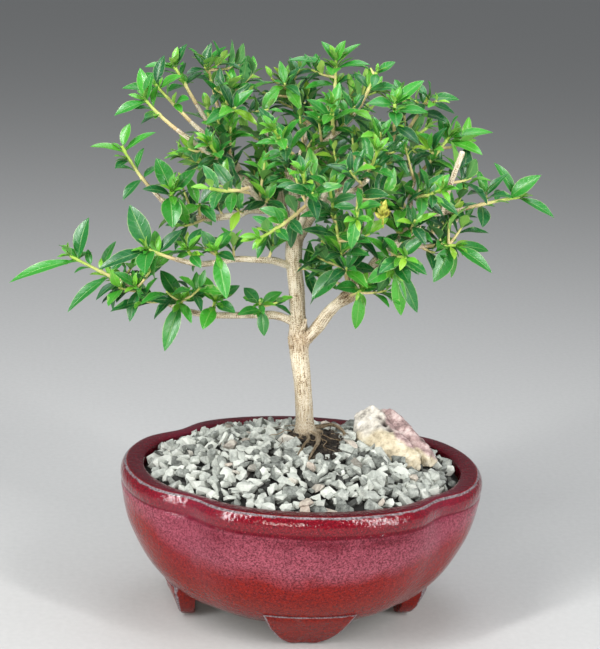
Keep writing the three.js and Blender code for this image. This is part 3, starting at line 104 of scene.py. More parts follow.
# What the scene adds: leaves in wide gaps, corners round each stem and limb, and spurs along the limbs
WIDE_INTERNODE = 9
STEM_AROUND, TWIG_AROUND, TRUNK_AROUND, LIMB_AROUND = 8, 6, 24, 14
SPUR_SPACING = 9
LOWEST_SPUR = 204
LOWEST_CARRIER = 150
# The limbs that carry no short spurs
BARE_LIMBS = ("trunk", "lowLeft", "midLeft", "greyRiser", "sideStub")
# The young leaves at a shoot's tip, as [how far each opens, its least reach]
TIP_LEAVES = [[0.45, 3], [0.45, 3], [0.9, 5.5], [0.9, 5.5], [1.5, 8], [1.5, 8]]
# The places of the finishes on a leafy piece
UPPER, UNDER, STEM = 0, 1, 2
# The angles, in degrees, past which an edge stays sharp
LEAF_SHARP, POT_SHARP, STONE_SHARP = 60, 38, 30
UP = np.array([0.0, 0.0, 1.0])

# The wood, limb by limb: each limb is a list of [x, y, z, radius] along its run, in the tree's frame
LIMBS = {
    "trunk": [
        [0, 10, 66, 2.4], [0, 10, 84, 4.6], [0, 10, 93, 6.4], [0, 10, 97, 5.5], [-0.6, 10, 104, 4.5],
        [-2.7, 10, 122, 4.3], [-5.5, 10, 139, 4.7], [-6, 10, 146, 5.3], [-6.5, 10, 152, 4.7],
        [-7.5, 10, 160, 3.9], [-9, 10, 174, 3.8], [-11, 10, 186, 3.9], [-11.5, 10, 196, 4.3],
        [-11, 10, 203, 3.4],
    ],
    "rootFront": [
        [2, 10, 97, 1.8], [8, 11, 96.5, 1.6], [8, 5, 96, 1.4], [5, -3, 95, 1.2], [2, -10, 92.5, 0.9],
    ],
    "rootLeft": [[-1, 9, 97, 1.8], [-2, 3, 96, 1.4], [-4, -5, 94.6, 1.1], [-6, -11, 92, 0.8]],
    "rootRight": [
        [2, 12, 98, 1.8], [8, 18, 97, 1.4], [14, 22, 97, 1.2], [19, 18, 96.4, 1.1], [23, 11, 93.5, 0.8],
    ],
    "lowLeft": [
        [-8, 10, 155, 1.8], [-18, 9, 159, 2.1], [-30, 8, 159, 1.8], [-43, 7, 158, 1.6], [-56, 6, 158, 1.6],
        [-68, 4, 161, 1.4], [-84, 2, 168, 1.3], [-97, 0, 174, 1.1],
    ],
    "midLeft": [
        [-11, 9, 185, 1.8], [-21, 4, 189, 1.9], [-28, 0, 190, 1.6], [-40, -6, 191, 1.5],
        [-47, -9, 190, 1.4], [-58, -13, 189, 1.3], [-70, -18, 192, 1.1],
    ],
    "leftLimb": [
        [-11, 10, 198, 3.2], [-17, 11, 206, 3.4], [-24, 12, 213, 3.0], [-33, 8, 223, 2.6],
        [-40, 4, 231, 2.6], [-45, 0, 236, 4.2], [-48, -2, 239, 2.4],
    ],
    "highLeft": [
        [-24, 12, 213, 1.8], [-35, 12, 213, 1.9], [-41, 12, 210, 1.7], [-54, 10, 208, 1.6],
        [-62, 9, 208, 1.4], [-72, 8, 210, 1.4], [-79, 6, 216, 1.2], [-84, 5, 221, 1.0],
    ],
    "fanLow": [[-46, -1, 237, 1.3], [-60, -10, 247, 1.2], [-72, -15, 256, 1.0]],
    "fanMid": [[-46, 0, 237, 1.4], [-56, -3, 250, 1.3], [-66, -6, 259, 1.0]],
    "fanHigh": [[-46, 0, 237, 1.4], [-55, 3, 253, 1.3], [-64, 5, 266, 1.0]],
    "fanTop": [[-45, 1, 237, 1.3], [-49, 8, 252, 1.2], [-54, 12, 265, 1.0]],
    "middleLimb": [
        [-11, 9, 199, 2.6], [-12, 6, 214, 2.6], [-13, 4, 228, 3.0], [-13, 3, 236, 5.2], [-12, 3, 242, 3.0],
    ],
    "backStub": [[-13, 10, 203, 2.6], [-19, 15, 214, 2.8], [-22, 20, 224, 2.4], [-28, 26, 238, 2.2]],
    "crownLimb": [[-12, 4, 238, 1.8], [-4, 6, 246, 1.6], [5, 8, 256, 1.4], [5, 10, 268, 1.1]],
    "crownRight": [[0, 6, 250, 1.4], [10, 3, 260, 1.2], [17, 3, 270, 1.0]],
    "crownBack": [[-12, 6, 238, 1.6], [-9, 20, 250, 1.3], [-6, 28, 264, 1.0]],
    "rightLimb": [
        [-10, 10, 199, 2.8], [-6, 8, 209, 2.8], [0, 4, 218, 2.4], [7, 0, 226, 2.2], [16, -4, 236, 1.8],
    ],
    "rightStub": [[0, 4, 218, 1.6], [3, -4, 227, 1.7], [6, -9, 235, 1.6]],
    "rightHigh": [[14, -3, 234, 1.5], [24, -8, 246, 1.3], [34, -12, 256, 1.0]],
    "rightBack": [[5, 1, 224, 1.6], [18, 10, 236, 1.4], [33, 16, 247, 1.2], [42, 14, 258, 1.0]],
    "lowRight": [
        [-5, 10, 143, 2.6], [3, 6, 155, 3.1], [8, 2, 164, 2.9], [13, -3, 171, 2.7], [18, -6, 176, 3.5],
        [24, -10, 186, 2.0], [29, -14, 196, 1.8], [36, -18, 204, 1.7], [46, -22, 216, 3.0],
        [49, -22, 219, 1.8],
    ],
    "greyRiser": [
        [18, -7, 176, 1.5], [18, -12, 198, 1.5], [21, -14, 210, 1.4], [20, -16, 224, 1.4],
        [21, -17, 238, 1.3],
    ],
    "lowRightTwig": [[36, -18, 203, 1.1], [44, -18, 205, 1.1], [54, -17, 206, 1.0]],
    "sideRiser": [[46, -21, 216, 1.3], [44, -15, 230, 1.2], [46, -11, 238, 1.0]],
    "sideTwig": [[47, -22, 217, 1.4], [54, -19, 222, 1.3], [62, -15, 223, 1.2], [72, -12, 225, 1.0]],
    "sideStub": [[60, -16, 223, 1.2], [63, -19, 238, 1.2], [67, -24, 255, 1.3]],
    "backLimb": [[-11, 11, 197, 2.2], [-4, 24, 212, 2.0], [2, 40, 226, 1.7], [5, 52, 240, 1.2]],
    "backLeft": [[-1, 32, 219, 1.4], [-16, 46, 234, 1.3], [-30, 56, 246, 1.0]],
    "backRight": [[1, 36, 222, 1.4], [20, 48, 236, 1.3], [36, 54, 246, 1.0]],
    "leftBack": [[-31, 9, 221, 1.5], [-46, 26, 232, 1.3], [-60, 38, 242, 1.0]],
    "rightRear": [[22, -9, 183, 1.6], [38, 4, 194, 1.5], [56, 16, 204, 1.3], [72, 24, 212, 1.0]],
    "frontLimb": [[-11, 9, 202, 1.8], [-8, -8, 213, 1.7], [-6, -26, 225, 1.4], [-4, -38, 236, 1.0]],
    "frontLeft": [[-24, 12, 213, 1.6], [-29, -6, 221, 1.4], [-35, -24, 231, 1.0]],
    "frontRight": [[7, 0, 226, 1.6], [15, -18, 231, 1.4], [22, -34, 240, 1.0]],
}

# Leafy shoots whose place shows, as [the three points that a stem bends through, its chief leaves], with
# each leaf as [place along the stem, tip x, tip y, tip z, width]
SHOWN_SHOOTS = {
    "far_left": [[[-97, 0, 174], [-106, -2, 178], [-123, -5, 187]], [
        [0.97, -153, -12, 173, 7], [1, -115, -2, 207, 9], [0.9, -109, 8, 190, 5.5], [1, -128, -16, 195, 4],
        [0.34, -123, -14, 160, 7], [0.34, -94, 6, 188, 6], [0.12, -109, -13, 167, 5],
        [0.1, -102, 2, 158, 4.5], [0.5, -103, 14, 192, 5],
    ]],
    "low_left_a": [[[-84, 2, 168], [-88, -2, 171], [-90, -5, 173]], [
        [0.9, -92, -10, 156, 6], [1, -79, 8, 187, 7], [1, -101, -12, 182, 5], [0.7, -80, -14, 170, 5],
    ]],
    "low_left_b": [[[-68, 4, 161], [-67, 0, 165], [-67, -3, 167]], [
        [0.8, -74, -8, 141, 8], [0.9, -79, 6, 180, 8], [1, -54, 6, 170, 7], [0.7, -65, -12, 156, 4.5],
        [1, -82, -10, 168, 6.5],
    ]],
    "low_left_c": [[[-50, 6, 158], [-51, 3, 163], [-50, 0, 167]], [
        [0.9, -60, 10, 178, 8], [0.6, -55, -9, 154, 8], [1, -38, 8, 174, 6], [0.9, -39, -6, 163, 6.5],
    ]],
    "low_left_d": [[[-26, 8, 159], [-26, 4, 163], [-27, 1, 166]], [
        [0.6, -24, 0, 150, 6], [1, -36, 8, 173, 6], [1, -16, 4, 173, 5.5], [0.8, -38, -6, 162, 5.5],
    ]],
    "mid_left_tip": [[[-70, -18, 192], [-76, -20, 194], [-83, -22, 197]], [
        [1, -93, -18, 218, 10], [1, -106, -30, 187, 7], [0.95, -89, -36, 173, 12],
        [0.8, -67, -14, 206, 6.5], [0.75, -80, -8, 178, 7], [0.6, -79, -8, 208, 5],
    ]],
    "mid_left_a": [[[-58, -13, 189], [-61, -16, 193], [-63, -18, 196]], [
        [0.9, -70, -22, 205, 5.5], [1, -58, -8, 206, 6], [0.8, -70, -10, 190, 4.5], [0.8, -56, -26, 190, 5],
    ]],
    "mid_left_b": [[[-47, -9, 190], [-49, -12, 194], [-50, -14, 196]], [
        [0.7, -43, -22, 174, 8], [1, -61, -12, 203, 6], [1, -43, -5, 205, 6.5], [0.8, -40, -26, 190, 5],
    ]],
    "high_left_tip": [[[-84, 5, 221], [-92, 4, 229], [-99, 3, 241]], [
        [1, -115, -4, 243, 6], [1, -97, 8, 254, 5.5], [0.98, -84, 10, 250, 5.5], [0.8, -102, -6, 233, 5],
        [0.35, -98, -4, 217, 6], [0.4, -81, 12, 233, 5],
    ]],
    "high_left_a": [[[-75, 7, 213], [-75, 3, 218], [-74, -1, 222]], [
        [1, -83, 4, 238, 9], [0.9, -72, -12, 206, 10], [0.8, -60, 8, 229, 6.5], [0.9, -87, -8, 230, 6],
    ]],
    "high_left_b": [[[-60, 9, 209], [-61, 6, 213], [-60, 3, 217]], [
        [1, -50, 6, 227, 6.5], [1, -68, 8, 229, 5.5], [0.8, -69, -4, 211, 6], [0.8, -51, -6, 209, 6],
    ]],
    "fan_low": [[[-72, -15, 256], [-81, -18, 263], [-87, -19, 270]], [
        [1, -101, -24, 262, 6], [1, -83, -24, 284, 6], [0.95, -93, -8, 281, 5.5], [0.5, -86, -28, 262, 6],
        [0.5, -90, -8, 256, 5],
    ]],
    "fan_mid": [[[-66, -6, 259], [-75, -8, 268], [-83, -10, 276]], [
        [1, -99, -14, 274, 5.5], [1, -80, -3, 290, 5.5], [0.9, -70, -16, 282, 6], [0.9, -90, 4, 280, 5],
        [0.45, -66, -16, 271, 6],
    ]],
    "fan_high": [[[-64, 5, 266], [-70, 6, 275], [-76, 7, 284]], [
        [1, -90, 2, 283, 6.5], [1, -70, 9, 295, 6], [0.95, -64, -2, 287, 6.5], [0.5, -78, -2, 272, 6],
        [0.5, -62, 14, 281, 5.5],
    ]],
    "fan_top": [[[-54, 12, 265], [-57, 14, 275], [-60, 15, 284]], [
        [1, -70, 10, 293, 6], [1, -51, 18, 294, 6.5], [0.95, -56, 4, 290, 6.5], [0.6, -46, 8, 279, 6.5],
        [0.6, -68, 22, 277, 5.5],
    ]],
    "crown_top": [[[5, 10, 268], [4, 13, 279], [4, 15, 290]], [
        [0.95, -20, 8, 290, 6.5], [1, 8, 13, 301, 6], [0.95, 21, 10, 290, 6], [1, -4, 22, 299, 4.5],
        [1, 16, 22, 299, 4], [0.85, 2, -2, 285, 7], [0.5, -11, 12, 276, 6.5], [0.5, 18, 20, 278, 6],
    ]],
    "crown_right": [[[17, 3, 270], [21, 1, 279], [24, 0, 288]], [
        [1, 33, 3, 293, 4.5], [0.95, 22, -9, 281, 4.5], [0.5, 34, -6, 281, 6.5], [0.5, 12, 10, 282, 5],
    ]],
    "right_high": [[[34, -12, 256], [34, -14, 266], [33, -14, 276]], [
        [1, 47, -8, 286, 6.5], [0.9, 20, -16, 274, 7], [0.75, 50, -12, 271, 6], [0.75, 34, -32, 266, 6.5],
        [0.4, 22, -6, 259, 6], [0.4, 46, -22, 257, 6],
    ]],
    "right_back": [[[42, 14, 258], [47, 8, 268], [51, 1, 279]], [
        [1, 66, 5, 276, 5], [0.95, 46, -8, 289, 5], [0.9, 42, 12, 282, 5], [0.6, 60, -4, 266, 6.5],
        [0.5, 38, 18, 271, 6],
    ]],
    "side_high": [[[46, -11, 238], [55, -5, 248], [62, 0, 258]], [
        [1, 57, 4, 269, 7], [1, 84, 4, 261, 5.5], [1, 65, -8, 270, 6], [0.9, 78, -12, 252, 8],
        [0.4, 46, 6, 250, 6], [0.4, 62, -14, 245, 6.5], [0.7, 46, -10, 260, 6],
    ]],
    "right_tip": [[[72, -12, 225], [85, -10, 229], [97, -6, 231]], [
        [1, 85, -2, 247, 6.5], [0.9, 111, -7, 248, 9], [0.97, 85, -16, 226, 7.5], [1, 116, -12, 223, 6],
        [0.85, 107, 6, 236, 5.5], [0.3, 80, -22, 218, 7], [0.3, 80, 4, 218, 6.5],
    ]],
    "low_right_tip": [[[54, -17, 206], [60, -17, 207], [66, -16, 207]], [
        [1, 58, -26, 190, 9.5], [0.95, 68, -10, 189, 6], [1, 87, -20, 195, 7], [1, 86, -6, 203, 6],
        [0.6, 58, -30, 208, 6], [0.6, 62, -4, 214, 5.5],
    ]],
    "low_right_drop": [[[36, -18, 204], [39, -21, 199], [39, -22, 196]], [
        [1, 52, -18, 172, 7], [1, 44, -18, 170, 7], [0.95, 28, -26, 184, 7], [0.8, 46, -32, 190, 7.5],
        [0.7, 28, -12, 198, 5.5],
    ]],
    "low_right_inner": [[[18, -8, 176], [21, -14, 179], [23, -17, 182]], [
        [0.8, 22, -12, 160, 6.5], [0.8, 33, -16, 181, 5], [0.9, 32, -16, 196, 7], [1, 10, -26, 184, 7],
    ]],
    "front_riser": [[[18, -6, 178], [12, -26, 200], [4, -36, 236]], [
        [0.3, -1, -20, 176, 9], [0.3, 30, -18, 192, 6.5], [0.62, -8, -34, 214, 5],
        [0.62, 26, -36, 210, 6.5], [0.8, -12, -34, 223, 5.5], [0.8, 14, -46, 228, 6],
        [0.98, -6, -44, 242, 6], [1, 12, -30, 249, 7],
    ]],
}

# Tufts of leaves between the shoots, as [x, y, z, width of a leaf] in the tree's frame
TUFTS = [
    [-61, 10, 284, 5], [-53, 14, 287, 6], [-44, 18, 285, 6], [-37, 10, 282, 6], [-47, 4, 277, 6],
    [-55, 0, 275, 6], [-39, 8, 270, 6], [-32, 20, 272, 6], [-28, 22, 279, 6], [-21, 12, 278, 6],
    [-28, 2, 266, 6], [-44, -6, 267, 7], [-24, 30, 267, 6], [-14, 26, 284, 6], [-8, 10, 286, 6],
    [21, 4, 289, 5], [36, 4, 275, 6], [44, 0, 275, 6], [54, -4, 276, 5], [35, -18, 252, 6],
    [52, -10, 253, 6], [71, 0, 256, 6], [65, -14, 246, 7], [73, -16, 241, 7], [81, -14, 234, 7],
    [26, -26, 229, 7], [33, -30, 233, 7], [39, -24, 226, 7], [38, -28, 215, 8], [25, -34, 214, 7],
    [42, -22, 209, 7], [6, -34, 222, 7], [14, -24, 214, 7], [12, -26, 202, 7], [15, -28, 195, 7],
    [-56, -6, 196, 7], [-65, -6, 196, 7], [-57, -14, 177, 6], [-18, -2, 169, 5], [-27, -8, 171, 5],
    [-99, -4, 172, 7], [-86, -8, 167, 7], [-82, -8, 184, 7], [-74, -10, 173, 7], [64, -14, 218, 8],
    [73, -12, 220, 7], [60, -16, 211, 8], [1, -4, 194, 7], [6, 0, 200, 7], [-1, 2, 187, 7], [4, -3, 184, 7],
    [8, 4, 192, 6], [2, -6, 203, 6], [-42, -4, 199, 6], [-22, 2, 198, 6], [36, -16, 182, 6],
    [58, -4, 241, 6], [-92, -2, 184, 5],
]

# Openings in the crown as the front shows them: where a line of sight from the camera's stand crosses the
# plane y = 0 of the tree's frame, as [x, z, half width, half height, furthest y that is kept clear]
OPENINGS = [
    [-96, 284, 14, 12, 99], [-55, 225, 15, 8, 99], [-85, 229, 10, 8, 99], [-58, 203, 10, 5, 99],
    [-99, 247, 8, 4, 99], [52, 283, 12, 5, 99], [50, 192, 6, 9, 99], [-25, 173, 11, 4, 99],
    [-76, 174, 6, 6, 99], [22, 293, 11, 3, 99], [69, 211, 5, 6, 99], [30, 284, 9, 3, 99],
    [-58, 275, 6, 5, 99], [82, 220, 5, 5, 99], [-77, 213, 4, 8, 99], [16, 224, 4, 4, 99],
    [-86, 256, 5, 4, 99], [75, 250, 5, 6, 99], [-106, 189, 4, 6, 99], [-24, 290, 6, 3, 99],
    [-30, 280, 4, 4, 99], [72, 233, 3, 4, 99], [-89, 157, 6, 5, 99], [-8, 211, 9, 9, 12],
]

# The changes of course that a leaf of the source may have taken, as [turn, lift, share of its reach, share
# of its width]
COURSES = [
    [0, 0, 1, 1], [0, 0.3, 1, 1], [0.35, 0, 0.95, 0.95], [-0.35, 0, 0.95, 0.95], [0, -0.35, 0.95, 0.95],
    [0.3, 0.4, 0.85, 0.85], [-0.3, 0.4, 0.85, 0.85], [0.6, 0.2, 0.8, 0.8], [-0.6, 0.2, 0.8, 0.8],
    [0, 0.2, 0.62, 0.62], [0.5, -0.3, 0.62, 0.62], [0, 0, 1, 0.55], [0, 0.3, 0.95, 0.5],
    [0.3, 0, 0.95, 0.5], [-0.3, 0, 0.95, 0.5],
]

# The spots on a dome that the other shoots grow towards
DOME_CENTRE = np.array([0.0, 12, 222])
DOME_RADII = np.array([82.0, 66, 62])
DOME_SPOTS = 32
DOME_HIGHEST = 0.97
DOME_LOWEST = -0.28
SPOT_CLEARANCE = 15
SHOOT_LIMIT = 34
SHOOT_SAG = 2.5
WITHERED_BUD = [30, -38, 226]
GOLDEN_ANGLE = math.pi * (3 - math.sqrt(5))

# The accent stone's two lumps, by their corners
CREAM_LUMP = [
    [27, 28, 84], [30, 9, 84], [40, -2, 84], [53, -8, 84], [61, -7, 84], [50, 12, 84], [40, 28, 84],
    [35, 26, 109], [26, 30, 102], [26, 28, 92], [27, 20, 90], [28, 12, 93], [31, 6, 91], [40, -2, 91.5],
    [53, -8, 91], [62, -6, 92], [38, 16, 102], [46, 8, 96], [43, 22, 103],
]
PINK_LUMP = [
    [36, 36, 84], [50, 40, 84], [64, 26, 84], [72, 10, 84], [67, -1, 84], [52, 6, 84], [39, 30, 105],
    [46, 27, 107], [52, 24, 103], [58, 17, 99], [67, 4, 93], [65, -1, 90], [43, 24, 100], [47, 14, 96],
    [56, 6, 91],
]


# Numbers and vectors
def chance(a, b, c):
    """A repeatable draw between 0 and 1 from three whole numbers, by mixing their bits."""
    h = ((a + 1) * 0x9E3779B1 ^ (b + 1) * 0x85EBCA6B ^ (c + 1) * 0xC2B2AE35) & 0xFFFFFFFF
    h = (h ^ (h >> 15)) * 0x2C1B3C6D & 0xFFFFFFFF
    h = (h ^ (h >> 12)) * 0x297A2D39 & 0xFFFFFFFF
    return (h ^ (h >> 15)) / 4294967296


def draws(cells, seed):
    """A draw between 0 and 1 for each row of whole numbers, by mixing their bits."""
    h = np.full(cells.shape[:-1], (seed * 0x9E3779B1) & 0xFFFFFFFF, np.uint32)
    for k, prime in enumerate((0x85EBCA6B, 0xC2B2AE35, 0x27D4EB2F, 0x165667B1)[:cells.shape[-1]]):
        h = h ^ ((cells[..., k] & 0xFFFFFFFF).astype(np.uint32) * np.uint32(prime))
        h = (h ^ (h >> np.uint32(15))) * np.uint32(0x2C1B3C6D)
        h = h ^ (h >> np.uint32(12))
    return h / 4294967296


def noise(places, size, seed=0):
    """Smooth noise from -1 to 1: draws at the corners of cells of that size, blended by 3f² - 2f³."""
    scaled = places / size
    cell = np.floor(scaled).astype(np.int64)
    part = scaled - cell
    part = part * part * (3 - 2 * part)
    total = 0
    for corner in itertools.product((0, 1), repeat=places.shape[-1]):
        weight = np.prod(np.where(corner, part, 1 - part), axis=-1)
        total = total + weight * draws(cell + np.array(corner), seed)
    return 2 * total - 1


def full_turn(count):
    """Angles in equal steps round a full turn."""
    return np.arange(count) * 2 * math.pi / count


def unit(vectors):
    """The vectors at a length of one."""
    return vectors / np.maximum(np.linalg.norm(vectors, axis=-1, keepdims=True), 1e-9)


def dot(a, b):
    """The dot product of each pair of vectors, kept as a column."""
    return np.sum(a * b, axis=-1, keepdims=True)


def turned(vector, axis, angle):
    """A vector turned about a unit axis: v cos a + (axis × v) sin a + axis (axis · v)(1 - cos a)."""
    return (vector * math.cos(angle) + np.cross(axis, vector) * math.sin(angle)
            + axis * np.dot(axis, vector) * (1 - math.cos(angle)))


def tree_points(points):
    """Points of the tree's own frame, in the pot's frame."""
    x, y, z = np.moveaxis(np.asarray(points, float), -1, 0)
    return np.stack([TREE_COS * x - TREE_SIN * y, TREE_SIN * x + TREE_COS * y, z], axis=-1)


def in_tree_frame(points):
    """Points of the pot's frame, in the tree's own frame."""
    x, y, z = np.moveaxis(points, -1, 0)
    return np.stack([TREE_COS * x + TREE_SIN * y, TREE_COS * y - TREE_SIN * x, z], axis=-1)


def through(rows, step):
    """A Catmull-Rom curve through rows of numbers whose first three are a point, sampled about every step
    of its length: ½(2b + (c - a)f + (2a - 5b + 4c - d)f² + (3b - a - 3c + d)f³) between rows b and c."""
    rows = np.asarray(rows, float)
    padded = np.vstack([2 * rows[0] - rows[1], rows, 2 * rows[-1] - rows[-2]])
    pieces = []
    for a, b, c, d in zip(padded, padded[1:], padded[2:], padded[3:]):
        count = max(1, math.ceil(np.linalg.norm((c - b)[:3]) / step))
        f = (np.arange(count) / count)[:, None]
        pieces.append((2 * b + (c - a) * f + (2 * a - 5 * b + 4 * c - d) * f ** 2
                       + (3 * b - a - 3 * c + d) * f ** 3) / 2)
    pieces.append(rows[-1:])
    return np.vstack(pieces)


# Meshes
class Skin:
    """Closed surfaces gathered into one mesh: points in millimetres, faces in blocks with the same number
    of corners, each block with its finish, and named values at each point."""

    def __init__(self):
        self.points = []
        self.blocks = []
        self.values = []
        self.count = 0

    def add(self, points, blocks, **values):
        """Adds a surface, with its faces as (corners, finish) blocks and each value for all its points or
        for each."""
        points = points.reshape(-1, 3)
        for faces, finish in blocks:
            self.blocks.append((faces + self.count, finish))
        self.points.append(points)
        self.values.append({name: np.broadcast_to(value, (len(points),)) for name, value in values.items()})
        self.count += len(points)


def ring_faces(rings, around):
    """The quads between closed rings of points that follow each other."""
    i = np.arange(around)
    j = (i + 1) % around
    start = (np.arange(rings - 1) * around)[:, None]
    return np.stack([start + i, start + j, start + around + j, start + around + i], axis=-1).reshape(-1, 4)


def closed_tube(skin, rings, finish=0, **values):
    """A skin over rings of points [ring, around, 3] with a flat cap at each end."""
    count, around = rings.shape[:2]
    first = np.arange(around)[::-1][None]
    last = np.arange(around)[None] + (count - 1) * around
    skin.add(rings, [(ring_faces(count, around), finish), (first, finish), (last, finish)], **values)


def tube_rings(path, radii, around):
    """Rings of that radius round each point of a path, square to it: c + r (side cos a + rise sin a). The
    side is square to the path and to the axis that the path follows least."""
    tangent = unit(np.gradient(path, axis=0))
    reference = np.eye(3)[np.argmin(np.abs(tangent).max(axis=0))]
    side = unit(np.cross(reference, tangent))
    rise = np.cross(tangent, side)
    a = full_turn(around)[None, :, None]
    spoke = side[:, None] * np.cos(a) + rise[:, None] * np.sin(a)
    return path[:, None] + np.asarray(radii)[:, None, None] * spoke


def add_value(mesh, name, value):
    """Gives a mesh a named number, or a vector, at each of its points."""
    kind = "FLOAT_VECTOR" if value.ndim == 2 else "FLOAT"
    layer = mesh.attributes.new(name, kind, "POINT")
    layer.data.foreach_set("vector" if value.ndim == 2 else "value", value.astype(np.float32).ravel())


def make_piece(skin, name, finishes, stands_for=(), sharp=None):
    """The skin as an object in the part's frame. Values named u and v become its UV map."""
    points = (np.concatenate(skin.points) + SHIFT) * MM
    sizes = np.concatenate([np.full(len(faces), faces.shape[1]) for faces, _ in skin.blocks])
    corners = np.concatenate([faces.ravel() for faces, _ in skin.blocks])
    finish = np.concatenate([np.full(len(faces), kind) for faces, kind in skin.blocks])
    mesh = bpy.data.meshes.new(name)
    mesh.vertices.add(len(points))
    mesh.vertices.foreach_set("co", points.astype(np.float32).ravel())
    mesh.loops.add(len(corners))
    mesh.loops.foreach_set("vertex_index", corners.astype(np.int32))
    mesh.polygons.add(len(sizes))
    mesh.polygons.foreach_set("loop_start", np.concatenate([[0], np.cumsum(sizes)[:-1]]).astype(np.int32))
    mesh.polygons.foreach_set("material_index", finish.astype(np.int32))
    mesh.update(calc_edges=True)
    names = sorted({key for values in skin.values for key in values})
    gathered = {key: np.concatenate([values.get(key, np.zeros(len(part)))
                                     for values, part in zip(skin.values, skin.points)]) for key in names}
    if "u" in gathered:
        layer = mesh.uv_layers.new(name="UVMap")
        uv = np.stack([gathered.pop("u")[corners], gathered.pop("v")[corners]], axis=-1)
        layer.data.foreach_set("uv", uv.astype(np.float32).ravel())
    for key, value in gathered.items():
        add_value(mesh, key, value)
    mesh.polygons.foreach_set("use_smooth", np.ones(len(sizes), bool))
    if sharp is not None:
        mesh.set_sharp_from_angle(angle=math.radians(sharp))
    piece = bpy.data.objects.new(name, mesh)
    bpy.context.scene.collection.objects.link(piece)
    for material in finishes:
        mesh.materials.append(material)
    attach(piece, "root")
    if stands_for:
        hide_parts(*stands_for)
    return piece


def settle(piece):
    """Applies a piece's modifiers to its mesh."""
    graph = bpy.context.evaluated_depsgraph_get()
    made = bpy.data.meshes.new_from_object(piece.evaluated_get(graph))
    piece.modifiers.clear()
    old = piece.data
    piece.data = made
    bpy.data.meshes.remove(old)


def fuse(piece, size):
    """Joins a piece's overlapping surfaces into one skin, by a grid of that size in millimetres."""
    remesh = piece.modifiers.new("fuse", "REMESH")
    remesh.mode = "VOXEL"
    remesh.voxel_size = size * MM
    remesh.use_smooth_shade = True
    ease = piece.modifiers.new("ease", "SMOOTH")
    ease.factor = 0.5
    ease.iterations = 2
    settle(piece)


def values_of(elements, key, width):
    """A value of each element of a mesh, as rows of that width."""
    values = np.zeros((len(elements), width), np.float32)
    elements.foreach_get(key, values.ravel())
    return values


def points_of(mesh):
    """A mesh's points in millimetres in the pot's frame, and its normals."""
    points, normals = (values_of(mesh.vertices, key, 3).astype(float) for key in ("co", "normal"))
    return points / MM - SHIFT, normals


def move_points(mesh, points):
    """Sets a mesh's points, given in millimetres in the pot's frame."""
    mesh.vertices.foreach_set("co", ((points + SHIFT) * MM).astype(np.float32).ravel())
    mesh.update()


# The way that the front of the tree looks
FRONT = tree_points([0, -1, 0])


# Finishes. Object coordinates are in metres, so a pattern's scale is its number of cells to the metre, and
# each comment gives the size of its cells. COLOURS sets a Mix node to colours.
COLOURS = {"out": 2, "data_type": "RGBA"}


def ink(code):
    """An sRGB hex colour as linear light."""
    parts = [int(code[k:k + 2], 16) / 255 for k in (1, 3, 5)]
    return (*[c / 12.92 if c <= 0.04045 else ((c + 0.055) / 1.055) ** 2.4 for c in parts], 1.0)


def feed(made, inputs):
    """Gives a node's inputs, by name or number, a value or another node's output."""
    for key, value in inputs.items():
        if isinstance(value, bpy.types.NodeSocket):
            made.id_data.links.new(value, made.inputs[key])
        else:
            made.inputs[key].default_value = value


def node(tree, kind, inputs=None, out=0, stops=None, **settings):
    """Adds a node and returns one of its outputs: settings set its properties, and stops its colour ramp."""
    made = tree.nodes.new("ShaderNode" + kind)
    for key, value in settings.items():
        setattr(made, key, value)
    if stops:
        ramp = made.color_ramp.elements
        while len(ramp) < len(stops):
            ramp.new(0.5)
        for element, (place, code) in zip(ramp, stops):
            element.position = place
            element.color = ink(code)
    feed(made, inputs or {})
    return made.outputs[out]


def new_finish(name):
    """A material with an empty Principled surface, that surface's node, a call that adds a node to it, and
    the Object coordinates."""
    material = bpy.data.materials.new(name)
    material.use_nodes = True
    tree = material.node_tree
    tree.nodes.clear()
    surface = tree.nodes.new("ShaderNodeBsdfPrincipled")
    feed(tree.nodes.new("ShaderNodeOutputMaterial"), {0: surface.outputs[0]})
    return material, surface, functools.partial(node, tree), node(tree, "TexCoord", out="Object")


